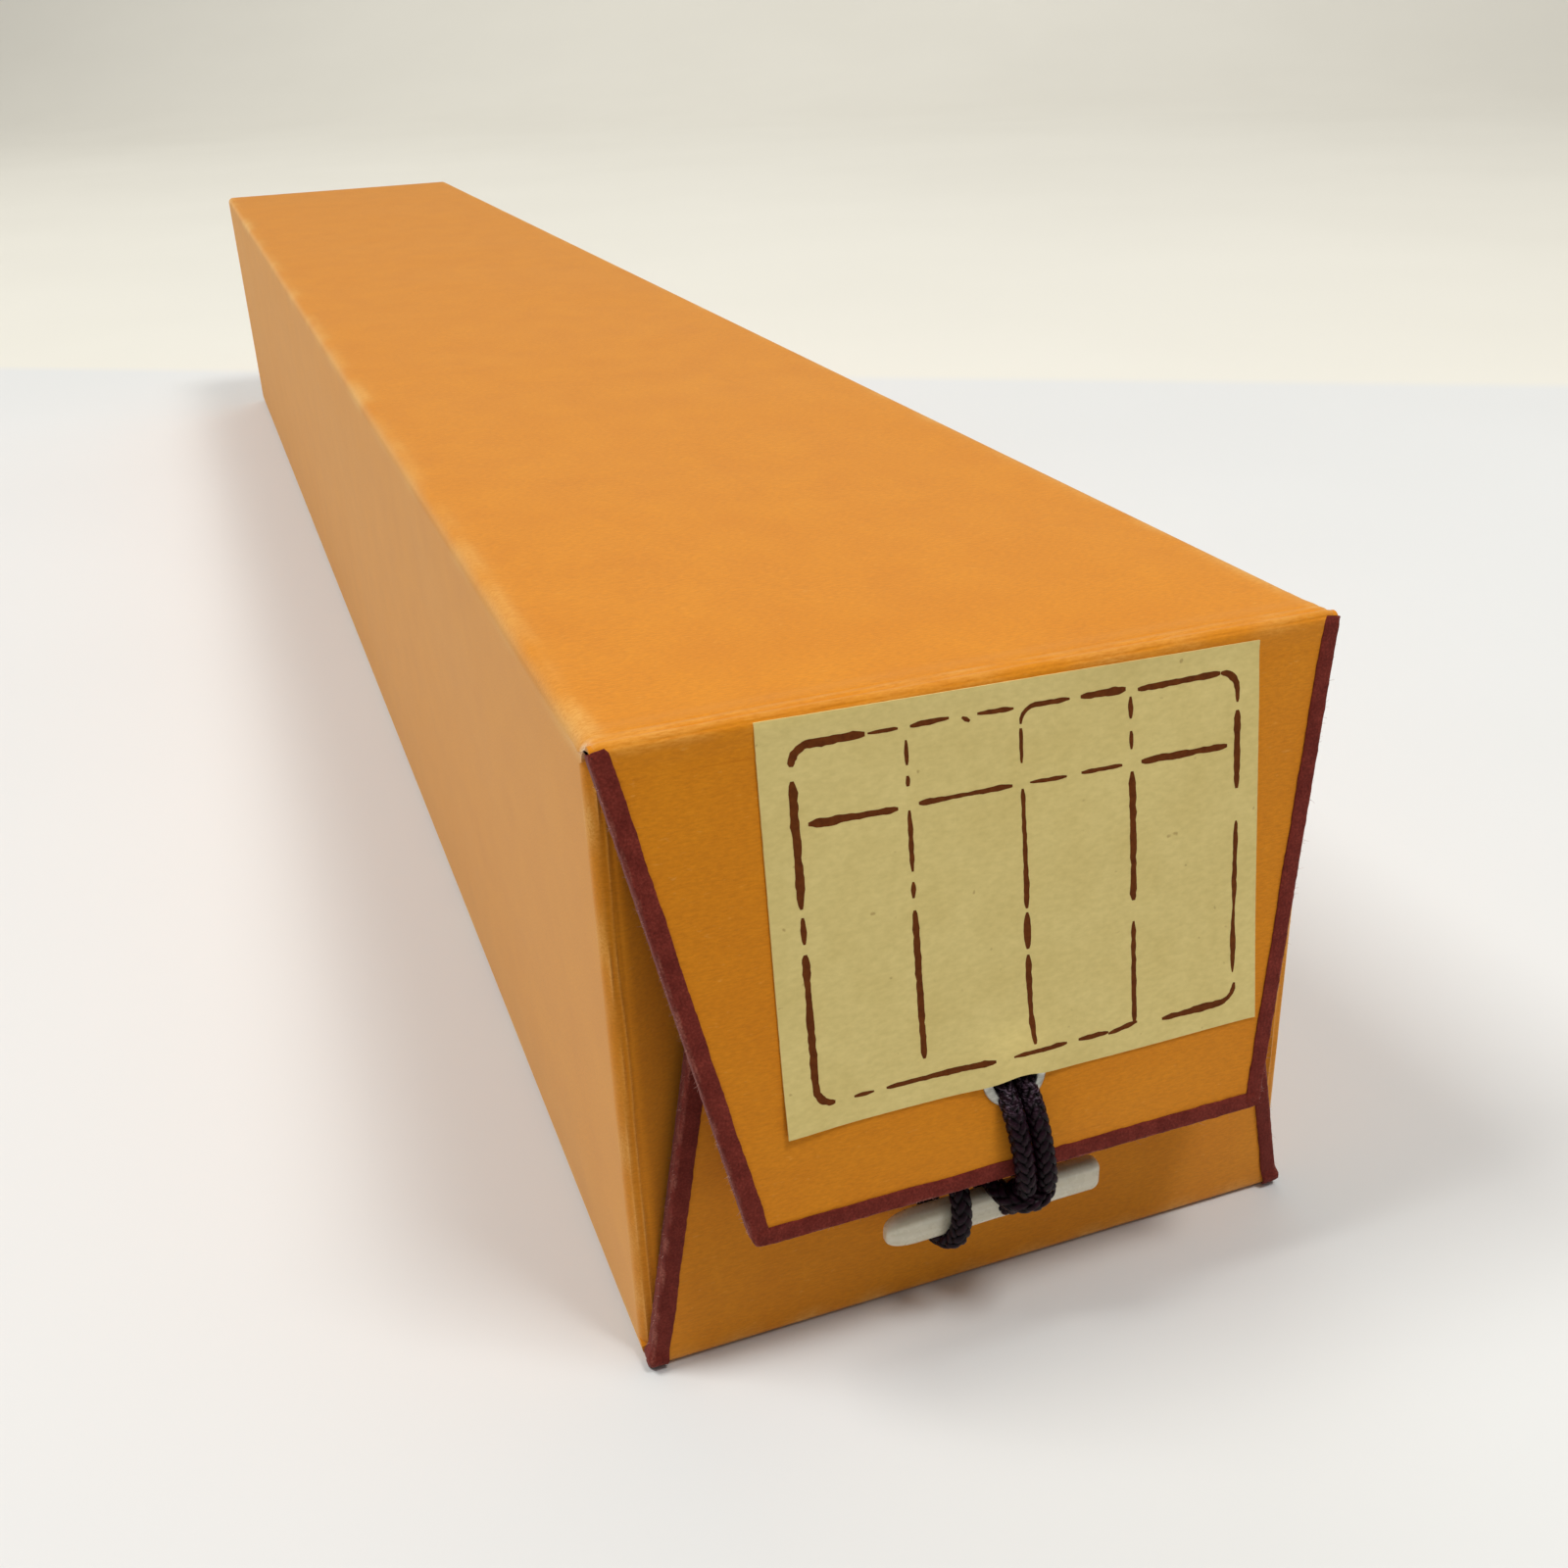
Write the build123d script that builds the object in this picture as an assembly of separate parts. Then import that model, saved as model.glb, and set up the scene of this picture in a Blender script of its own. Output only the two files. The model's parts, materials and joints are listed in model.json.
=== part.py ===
from build123d import *
from math import asin, atan2, cos, degrees, hypot, pi, radians, sin, tan
import os

os.makedirs("parts", exist_ok=True)

# A long paper-covered board case for a rolled scroll. Its front end closes with four flaps:
# two side flaps fold in, a lower flap folds up over them and a top flap hangs down over that.
# A doubled cord on the top flap is hitched round a toggle, which a loop on the lower flap holds.
# Millimetres. +X is to the right seen from the flap end, +Y runs back along the case, +Z is up,
# and the origin is the centre of the base panel's outer face.

# Case
case_width = 90.0
case_length = 600.0
case_height = 83.0
board = 1.8
long_edge_radius = 1.8
inner_edge_radius = 0.4
fold_radius = 1.5

# Side end flaps
fold_strip = 3.0            # flat strip that faces forward before the flap turns in
side_flap_length = 30.0
side_flap_lean = 20.0       # degrees that the flap turns in behind the front plane
side_flap_taper = 8.0       # degrees that its upper and lower edges slant
flap_slit = 0.6             # slit between a side flap and the top or base panel

# Lower and top end flaps
flap_inset = 0.4            # each side of a flap, within the case width
flap_gap = 0.4              # from the side flaps' front to the back of the outer flaps
lower_flap_height = 59.0
lower_flap_taper = 10.3     # degrees
top_flap_length = 60.0
top_flap_taper = 10.8       # degrees
hinge_clearance = 0.4       # between the top panel's front edge and the flap's round edge

# Binding tape
tape_thickness = 0.25
tape_width = 2.0
tape_start_gap = 0.2        # from the folded board to the end of the tape

# Label
label_width = 61.0
label_height = 47.0
label_thickness = 0.2
label_offset = 2.7          # of its centre, to the right
label_drop = 24.6           # of its centre, down the flap from the hinge
label_turn = 1.1            # degrees clockwise
label_notch_gap = 0.4       # round the eyelet's flange

# Eyelets
eyelet_hole_fit = 0.18      # from the two strands to the hole
eyelet_wall = 0.3
eyelet_flange_width = 0.95
eyelet_flange = 0.4
eyelet_fit = 0.05
top_eyelet_drop = 47.0      # down the flap from the hinge
lower_eyelet_x = -7.4
lower_eyelet_gap = 1.35     # from the cord over the toggle to the eyelet's centre

# Toggle
toggle_length = 29.0
toggle_height = 4.5
toggle_thickness = 2.8
toggle_edge_radius = 1.0
toggle_offset = -1.2        # of its centre, to the right
toggle_clearance = 2.15     # from the cord over the toggle up to the top flap's end
toggle_bevel_length = 2.6
toggle_bevel_depth = 0.9
toggle_end_radius = 0.9

# Cords
cord_diameter = 2.7
cord_gap = 0.1              # between a cord and what it lies on
strand_gap = 0.04           # between the two strands of a doubled cord
strand_lift = 0.1           # of a strand, where it leaves an eyelet and turns down
hitch_offset = 1.8          # of the hitch's centre, to the right
arm_gap = 0.08              # between the hitch's outer arms and the strands
knot_width = 7.4
knot_height = 6.4
knot_thickness = 4.0
knot_radius = 1.9
knot_clearance = 0.4        # from the closing knot to the lower flap that it rests on

# Worked out from the sizes above
half_width = case_width / 2
front_y = -case_length / 2
flap_half_width = half_width - flap_inset
flap_back_y = front_y - flap_gap
flap_front_y = flap_back_y - board
flap_face = board / 2                                       # outer face, from the flap's mid plane
hinge_y = front_y - hinge_clearance - flap_face
hinge_z = case_height - board / 2
cord_radius = cord_diameter / 2
strand_pitch = cord_diameter + strand_gap
hitch_half_width = strand_pitch / 2 + cord_diameter + arm_gap
eyelet_hole_radius = strand_pitch / 2 + cord_radius + eyelet_hole_fit
eyelet_flange_radius = eyelet_hole_radius + eyelet_wall + eyelet_flange_width

# The closed top flap stands out because its knot rests on the lower flap
knot_depth = flap_face + eyelet_flange + cord_gap + knot_thickness
knot_top_drop = top_eyelet_drop - knot_height / 2
knot_seat = hinge_y - flap_front_y + knot_clearance
top_flap_lean = degrees(asin(knot_seat / hypot(knot_top_drop, knot_depth))
                        + atan2(knot_depth, knot_top_drop))
top_flap_place = Location((0, hinge_y, hinge_z), (-top_flap_lean, 0, 0))

top_flap_end_z = hinge_z - top_flap_length * cos(radians(top_flap_lean))
tape_start = board + tape_start_gap
cord_over_toggle = toggle_height / 2 + cord_gap + cord_diameter
toggle_rise = top_flap_end_z - toggle_clearance - cord_over_toggle
toggle_back_y = flap_front_y - eyelet_flange - cord_diameter - 2 * cord_gap
toggle_y = toggle_back_y - toggle_thickness / 2
lower_eyelet_height = toggle_rise + cord_over_toggle + lower_eyelet_gap


def half_at(base_half, taper, distance):
    """Half width of a tapered flap at a distance from its fold."""
    return base_half - distance * tan(radians(taper))


def flap_outline(taper, start, end, grow):
    """Corners of a tapered flap between two distances from its fold, grown sideways by grow."""
    side = grow / cos(radians(taper))
    near = half_at(flap_half_width, taper, start) + side
    far = half_at(flap_half_width, taper, end) + side
    return [(-near, start), (near, start), (far, end), (-far, end)]


def plate(corners, thickness):
    """Upright plate centred on the XZ plane, with its corners as (x, z)."""
    face = make_face(Plane.XZ * Polyline(*corners, close=True))
    return extrude(face, thickness / 2, both=True)


def flap_plate(taper, start, end, grow, thickness):
    return plate(flap_outline(taper, start, end, grow), thickness)


def binding(taper, length):
    """Tape folded over a flap's two slanted edges and its end, with the fold at z = 0."""
    outside = flap_plate(taper, tape_start, length + tape_thickness, tape_thickness,
                         board + 2 * tape_thickness)
    flap = flap_plate(taper, 0, length, 0, board)
    window = flap_plate(taper, 0, length - tape_width, -tape_width, 3 * board)
    return outside - flap - window


def eyelet():
    """Rolled metal eyelet through one board thickness, along Y, centred on the board."""
    outer = eyelet_hole_radius + eyelet_wall
    barrel = Cylinder(outer, board)
    flanges = Cylinder(eyelet_flange_radius, board + 2 * eyelet_flange) - Cylinder(
        eyelet_flange_radius + 1, board)
    hole = Cylinder(eyelet_hole_radius, board + 4 * eyelet_flange)
    return Rot(90, 0, 0) * (barrel + flanges - hole)


def eyelet_cut():
    radius = eyelet_hole_radius + eyelet_wall + eyelet_fit
    return Rot(90, 0, 0) * Cylinder(radius, 3 * board)


def cord_tube(name, points, radii):
    """Tube along straight runs joined by tangent arcs."""
    path = FilletPolyline(*points, radius=radii)
    section = Plane(path @ 0, z_dir=path % 0) * Circle(cord_radius)
    tube = sweep(section, path=path)
    ideal = pi * cord_radius ** 2 * path.length
    print(name, "radii", radii, "length", round(path.length, 1), "volume ratio",
          round(tube.volume / ideal, 4))
    return tube


def knot(centre):
    block = Box(knot_width, knot_thickness, knot_height)
    return Pos(*centre) * fillet(block.edges(), knot_radius)


def side_flap():
    """Left side flap with its fold strip and the end of the side panel that carries it."""
    root_y = front_y + 2 * fold_strip
    bend_x = -half_width + fold_strip
    lean = radians(side_flap_lean)
    end_x = bend_x + side_flap_length * cos(lean)
    end_y = front_y + side_flap_length * sin(lean)
    profile = Polyline(
        (-half_width, root_y),
        (-half_width, front_y),
        (bend_x, front_y),
        (end_x, end_y),
        (end_x - board * sin(lean), end_y + board * cos(lean)),
        (bend_x - board * tan(lean / 2), front_y + board),
        (-half_width + board, front_y + board),
        (-half_width + board, root_y),
        close=True)
    low = board + flap_slit
    high = case_height - board - flap_slit
    solid = Pos(0, 0, low) * extrude(make_face(profile), high - low)
    outer_folds = solid.edges().filter_by(Axis.Z).filter_by(
        lambda edge: abs(edge.center().Y - front_y) < 0.01)
    solid = fillet(outer_folds, fold_radius)
    reach = side_flap_length + fold_strip
    drop = reach * tan(radians(side_flap_taper))
    wedge_face = make_face(Plane.XZ * Polyline(
        (bend_x, high), (bend_x + reach, high), (bend_x + reach, high - drop), close=True))
    wedge = Pos(0, front_y, 0) * extrude(wedge_face, case_width, both=True)
    lower_wedge = mirror(wedge, Plane.XY.offset(case_height / 2))
    return solid - wedge - lower_wedge


def case_shell():
    outside = Box(case_width, case_length, case_height)
    outside = fillet(outside.edges().filter_by(Axis.Y), long_edge_radius)
    outside = fillet(outside.faces().sort_by(Axis.Y)[-1].edges(), long_edge_radius / 2)
    hollow = Box(case_width - 2 * board, case_length, case_height - 2 * board)
    hollow = fillet(hollow.edges().filter_by(Axis.Y), inner_edge_radius)
    shell = Pos(0, 0, case_height / 2) * (outside - Pos(0, -board, 0) * hollow)

    left = side_flap()
    box = left.bounding_box()
    room = Pos(-half_width, front_y, (box.min.Z + box.max.Z) / 2) * Box(
        4 * board, 2 * fold_strip, box.max.Z - box.min.Z)
    shell = shell - room - mirror(room, Plane.YZ)
    shell = shell + left + mirror(left, Plane.YZ)

    fold = Pos(0, flap_front_y, 0) * Box(
        2 * flap_half_width, front_y - flap_front_y + board, board,
        align=(Align.CENTER, Align.MIN, Align.MIN))
    lower = Pos(0, flap_front_y + board / 2, 0) * flap_plate(
        lower_flap_taper, 0, lower_flap_height, 0, board)
    lower = lower + fold
    front_edge = lower.edges().filter_by(Axis.X).sort_by(Axis.Z)[:2].sort_by(Axis.Y)[0]
    lower = fillet(front_edge, fold_radius)
    hole = Pos(lower_eyelet_x, flap_front_y + board / 2, lower_eyelet_height) * eyelet_cut()
    return shell + lower - hole


def top_flap():
    """Top flap hanging straight down from its hinge line, before it is leaned and placed."""
    panel = mirror(flap_plate(top_flap_taper, 0, top_flap_length, 0, board), Plane.XY)
    rounded_edge = Rot(0, 90, 0) * Cylinder(board / 2, 2 * flap_half_width)
    return panel + rounded_edge - Pos(0, 0, -top_eyelet_drop) * eyelet_cut()


def label():
    sheet = Pos(label_offset, 0, -label_drop) * Rot(0, label_turn, 0) * Box(
        label_width, label_thickness, label_height)
    notch_radius = eyelet_flange_radius + label_notch_gap
    notch = Pos(0, 0, -top_eyelet_drop) * Rot(90, 0, 0) * Cylinder(notch_radius, board)
    return Pos(0, -flap_face - label_thickness / 2, 0) * (sheet - notch)


def toggle():
    """Peg of constant section with a bevelled left end and a blunt rounded right end."""
    section = Plane.YZ * RectangleRounded(toggle_thickness, toggle_height, toggle_edge_radius)
    peg = extrude(section, toggle_length / 2, both=True)
    left_end = peg.faces().sort_by(Axis.X)[0]
    peg = chamfer(left_end.edges(), toggle_bevel_depth, toggle_bevel_length, reference=left_end)
    right_end = peg.faces().sort_by(Axis.X)[-1]
    peg = fillet(right_end.edges(), toggle_end_radius)
    return Pos(toggle_offset, toggle_y, toggle_rise) * peg


# Levels of the cord's centre line round the toggle
hold = toggle_height / 2 + cord_gap + cord_radius
cord_back_y = toggle_back_y + cord_gap + cord_radius
cord_front_y = toggle_y - toggle_thickness / 2 - cord_gap - cord_radius
cord_under_z = toggle_rise - hold
wrap_radius = toggle_edge_radius + cord_gap + cord_radius


def on_top_flap(x, drop, out):
    """A point beside the top flap, by its drop down the flap and its distance from mid plane."""
    place = top_flap_place * Pos(x, -out, -drop)
    return tuple(place.position)


def closing_cord():
    lie = flap_face + eyelet_flange + cord_gap + cord_radius
    half = strand_pitch / 2
    knot_out = knot_depth - knot_thickness / 2

    def side(sign):
        x = hitch_offset + sign * half
        arm = hitch_offset + sign * hitch_half_width
        spread = (x + arm) / 2
        return [
            on_top_flap(sign * half, top_eyelet_drop - strand_lift, -knot_out),
            on_top_flap(sign * half, top_eyelet_drop - strand_lift, lie),
            on_top_flap(x, top_flap_length + 1.9, lie),
            (x, cord_front_y, toggle_rise + hold + 0.45),
            (x, cord_front_y, cord_under_z),
            (spread, cord_back_y, cord_under_z),
            (arm, cord_back_y, toggle_rise + hold + 0.85),
            (arm, cord_front_y - cord_diameter - 0.4, toggle_rise + 2.2),
        ]

    right = side(1)
    left = side(-1)
    points = right + left[::-1]
    strand_radii = [cord_diameter] * 3 + [wrap_radius] * 3 + [1.25 * cord_diameter]
    tube = cord_tube("closing_cord", points, strand_radii + strand_radii[::-1])
    lump = top_flap_place * knot((0, knot_out, -top_eyelet_drop))
    return tube + lump


def latch_loop():
    half = strand_pitch / 2
    inside_y = flap_back_y + eyelet_flange + cord_gap + knot_thickness / 2
    x = lower_eyelet_x
    z = lower_eyelet_height
    points = [
        (x, inside_y, z + half),
        (x + 0.3, flap_front_y - 2.3, z + half),
        (x + 0.8, cord_front_y, toggle_rise + hold + 0.85),
        (x + 0.5, cord_front_y, cord_under_z),
        (x - 2.0, cord_back_y, cord_under_z),
        (x - 0.2, cord_back_y, z - half),
        (x, inside_y, z - half),
    ]
    radii = [cord_diameter, cord_diameter, wrap_radius, wrap_radius, 0.7 * cord_diameter]
    tube = cord_tube("latch_loop", points, radii)
    return tube + knot((x, inside_y, z))


def top_binding():
    return mirror(binding(top_flap_taper, top_flap_length), Plane.XY)


lower_flap_middle = Pos(0, flap_front_y + board / 2, 0)
pieces = {
    "case_shell": case_shell(),
    "lower_flap_binding": lower_flap_middle * binding(lower_flap_taper, lower_flap_height),
    "lower_eyelet": lower_flap_middle * Pos(lower_eyelet_x, 0, lower_eyelet_height) * eyelet(),
    "latch_loop": latch_loop(),
    "top_flap": top_flap_place * top_flap(),
    "top_flap_binding": top_flap_place * top_binding(),
    "top_eyelet": top_flap_place * Pos(0, 0, -top_eyelet_drop) * eyelet(),
    "label": top_flap_place * label(),
    "closing_cord": closing_cord(),
    "toggle": toggle(),
}
for name, piece in pieces.items():
    export_step(piece, f"parts/{name}.step")
print("hinge", round(hinge_y, 3), round(hinge_z, 3))
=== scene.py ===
import json
import math
import random

import bmesh
import bpy
from mathutils import Matrix, Vector, noise


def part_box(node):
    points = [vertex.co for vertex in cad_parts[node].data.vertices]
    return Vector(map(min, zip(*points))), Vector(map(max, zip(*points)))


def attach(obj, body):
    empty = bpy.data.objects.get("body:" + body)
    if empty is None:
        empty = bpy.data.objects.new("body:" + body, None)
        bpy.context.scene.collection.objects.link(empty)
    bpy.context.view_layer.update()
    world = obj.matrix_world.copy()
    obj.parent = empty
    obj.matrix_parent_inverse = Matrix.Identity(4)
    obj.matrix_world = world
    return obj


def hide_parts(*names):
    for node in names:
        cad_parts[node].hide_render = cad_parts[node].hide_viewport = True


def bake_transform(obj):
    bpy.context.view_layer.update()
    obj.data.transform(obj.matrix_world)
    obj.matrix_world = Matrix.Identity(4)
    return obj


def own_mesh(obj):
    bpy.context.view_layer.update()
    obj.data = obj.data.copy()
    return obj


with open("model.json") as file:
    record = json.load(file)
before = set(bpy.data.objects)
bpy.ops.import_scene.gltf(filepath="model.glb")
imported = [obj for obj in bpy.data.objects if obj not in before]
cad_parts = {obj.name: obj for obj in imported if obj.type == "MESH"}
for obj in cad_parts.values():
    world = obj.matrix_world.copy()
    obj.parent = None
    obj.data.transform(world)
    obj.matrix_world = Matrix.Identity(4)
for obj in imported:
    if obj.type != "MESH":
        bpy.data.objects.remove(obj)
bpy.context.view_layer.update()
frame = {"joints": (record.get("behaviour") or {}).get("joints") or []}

# A long paper-covered board case for a rolled scroll, seen from its flap end. Lengths here are in
# millimetres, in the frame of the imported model, and each mesh is made in metres. +X is to the right
# seen from the flap end, +Y runs back along the case and +Z is up. Points on the top flap are given
# as (x, drop, out): across it, down it from the hinge line, and outwards from its mid plane.

MM = 0.001
scene = bpy.context.scene


def node_box(name):
    """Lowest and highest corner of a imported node, in millimetres."""
    low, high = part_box(name)
    return low / MM, high / MM


# Case, from the frame
shell_low, shell_high = node_box("case_shell")
half_width = shell_high.x
back_y = shell_high.y
height = shell_high.z
flap_front_y = shell_low.y
board = 1.8
flap_gap = 0.4
front_y = flap_front_y + board + flap_gap
flap_back_y = front_y - flap_gap
flap_face = board / 2
flap_half_width = half_width - 0.4
long_edge_radius = 1.9
inner_edge_radius = 0.12
back_edge_radius = 0.9
top_set_back = 0.5          # of the top panel's front edge, so that the opened label clears it

# Folds and flaps
fold_radius = 1.5
fold_start = 1.8            # behind the front plane, where a side wall starts to turn in
fold_strip = 3.0
side_flap_length = 30.0
side_flap_lean = math.radians(20)
side_flap_taper = math.radians(8)
flap_slit = 0.6
lower_flap_height = 59.0
lower_flap_taper = math.radians(10.3)
top_flap_length = 60.0
top_flap_taper = math.radians(10.8)

# Top flap's place, from the frame
hinge_joint = next(joint for joint in frame["joints"] if joint["name"] == "top_flap_hinge")
hinge = Vector(hinge_joint["pos_m"]) / MM
top_flap_low = node_box("top_flap")[0]
top_flap_lean = math.asin(
    (hinge.y - top_flap_low.y) / math.hypot(top_flap_length, flap_face)
) - math.atan2(flap_face, top_flap_length)

# Binding tape
tape_width = 2.0
tape_thickness = 0.25
plain_knob = 0.12           # of a tape's end
frayed_knob = 0.34

# Label
label_width = 61.0
label_height = 48.0
label_thickness = 0.2
label_offset = 2.7
label_drop = 24.1
label_turn = math.radians(1.1)
label_skew = 0.9            # how much shorter its right side is

# Eyelets
lower_eyelet_low, lower_eyelet_high = node_box("lower_eyelet")
lower_eyelet = (lower_eyelet_low + lower_eyelet_high) / 2
eyelet_flange_radius = (lower_eyelet_high.x - lower_eyelet_low.x) / 2
eyelet_flange_width = 0.95
eyelet_wall = 0.3
eyelet_hole_radius = eyelet_flange_radius - eyelet_flange_width - eyelet_wall
eyelet_flange = 0.4
top_eyelet_drop = 47.0

# Toggle
toggle_low, toggle_high = node_box("toggle")
toggle_centre = (toggle_low + toggle_high) / 2
toggle_rise = toggle_centre.z
toggle_half_height = (toggle_high.z - toggle_low.z) / 2
toggle_half_thickness = (toggle_high.y - toggle_low.y) / 2

# Cords
cord_diameter = 2.7
cord_radius = cord_diameter / 2
cord_gap = 0.1
strand_pitch = cord_diameter + 0.04
half_pitch = strand_pitch / 2
hitch_offset = 1.8
hitch_half_width = half_pitch + cord_diameter + 0.08
knot_thickness = 4.0
knot_depth = flap_face + eyelet_flange + cord_gap + knot_thickness


# ---------------------------------------------------------------- small helpers

def smooth(a, b, value):
    """0 at a, 1 at b and a smooth rise between them."""
    t = min(1.0, max(0.0, (value - a) / (b - a)))
    return t * t * (3 - 2 * t)


def bell(value, width):
    return math.exp(-(value / width) ** 2)


def ripple(x, y, z, size, shift):
    """Smooth noise of about -0.5 to 0.5 whose lumps are about size across."""
    return noise.noise(Vector((x / size + shift, y / size - shift, z / size + 2 * shift)))


def steps(start, end, count):
    """Evenly spaced values from start to end, both included."""
    return [start + (end - start) * i / count for i in range(count + 1)]


def on_top_flap(x, drop, out):
    c, s = math.cos(top_flap_lean), math.sin(top_flap_lean)
    return Vector((x, hinge.y - drop * s - out * c, hinge.z - drop * c + out * s))


def make_piece(name, points, faces, material, body, nodes=(), marks=None, crease=35):
    """A mesh piece from points in millimetres. marks are named values, one for each point."""
    mesh = bpy.data.meshes.new(name)
    mesh.from_pydata([Vector(p) * MM for p in points], [], faces)
    for mark, values in (marks or {}).items():
        layer = mesh.attributes.new(mark, "FLOAT", "POINT")
        layer.data.foreach_set("value", values)
    work = bmesh.new()
    work.from_mesh(mesh)
    bmesh.ops.recalc_face_normals(work, faces=work.faces)
    work.to_mesh(mesh)
    work.free()
    mesh.materials.append(material)
    piece = bpy.data.objects.new(name, mesh)
    scene.collection.objects.link(piece)
    shade(piece, crease)
    if body:
        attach(piece, body)
    if nodes:
        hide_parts(*nodes)
    return piece


def shade(piece, crease):
    for polygon in piece.data.polygons:
        polygon.use_smooth = True
    piece.data.set_sharp_from_angle(angle=math.radians(crease))


def slab_faces(rows, columns, ring=False):
    """Faces of a closed slab: its outer points row by row, then its inner points likewise."""
    faces = []
    skin = rows * columns
    spans = columns if ring else columns - 1

    def quad(row, column):
        a = row * columns + column
        b = row * columns + (column + 1) % columns
        return a, b, b + columns, a + columns

    for row in range(rows - 1):
        for column in range(spans):
            a, b, c, d = quad(row, column)
            faces.append((a, b, c, d))
            faces.append((skin + d, skin + c, skin + b, skin + a))
    last = (rows - 1) * columns
    for column in range(spans):
        a, b = column, (column + 1) % columns
        faces.append((b, a, skin + a, skin + b))
        faces.append((last + a, last + b, skin + last + b, skin + last + a))
    if not ring:
        for row in range(rows - 1):
            a = row * columns
            b = a + columns - 1
            faces.append((a, a + columns, skin + a + columns, skin + a))
            faces.append((b + columns, b, skin + b, skin + b + columns))
    return faces


def tube_mesh(rings, closed=False):
    """Points and faces of a tube through rings of points, capped at both ends unless closed."""
    count = len(rings[0])
    points = [p for ring in rings for p in ring]
    faces = []
    spans = len(rings) if closed else len(rings) - 1
    for row in range(spans):
        here = row * count
        there = (row + 1) % len(rings) * count
        for i in range(count):
            j = (i + 1) % count
            faces.append((here + i, here + j, there + j, there + i))
    if not closed:
        faces.append(tuple(range(count))[::-1])
        faces.append(tuple(len(points) - count + i for i in range(count)))
    return points, faces


def add_mesh(points, faces, added):
    """Adds another mesh's (points, faces) to the lists points and faces."""
    added_points, added_faces = added
    faces += [tuple(index + len(points) for index in face) for face in added_faces]
    points += added_points


def cut_round_hole(piece, centre, radius, tilt):
    """Cuts a round hole through a board piece, square to a plane that leans by tilt."""
    mesh = bpy.data.meshes.new("hole_cutter")
    work = bmesh.new()
    place = Matrix.Translation(centre * MM) @ Matrix.Rotation(math.pi / 2 - tilt, 4, "X")
    bmesh.ops.create_cone(work, cap_ends=True, segments=48, radius1=radius * MM,
                          radius2=radius * MM, depth=5 * board * MM, matrix=place)
    work.to_mesh(mesh)
    work.free()
    cutter = bpy.data.objects.new("hole_cutter", mesh)
    scene.collection.objects.link(cutter)
    cut = piece.modifiers.new("hole", "BOOLEAN")
    cut.operation = "DIFFERENCE"
    cut.solver = "EXACT"
    cut.object = cutter
    bpy.context.view_layer.update()
    graph = bpy.context.evaluated_depsgraph_get()
    piece.data = bpy.data.meshes.new_from_object(piece.evaluated_get(graph))
    piece.modifiers.clear()
    bpy.data.objects.remove(cutter)


# ---------------------------------------------------------------- camera

camera_place = Vector((-0.0754, -0.4491, 0.1501))
camera_heading = 19.21      # degrees to the right of +Y
camera_pitch = -25.74       # degrees above the horizon
camera_roll = -2.564        # degrees, clockwise seen from behind the camera
camera_lens = 37.685


def make_camera():
    """The camera, from its place, heading, pitch and roll."""
    camera = bpy.data.objects.new("camera", bpy.data.cameras.new("camera"))
    camera.data.sensor_width = 36
    camera.data.lens = camera_lens
    camera.data.clip_start = 0.01
    turn = Matrix.Rotation(math.radians(-camera_heading), 4, "Z")
    tip = Matrix.Rotation(math.radians(90 + camera_pitch), 4, "X")
    roll = Matrix.Rotation(math.radians(camera_roll), 4, "Z")
    camera.matrix_world = Matrix.Translation(camera_place) @ turn @ tip @ roll
    scene.collection.objects.link(camera)
    scene.camera = camera


# ---------------------------------------------------------------- materials

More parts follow.
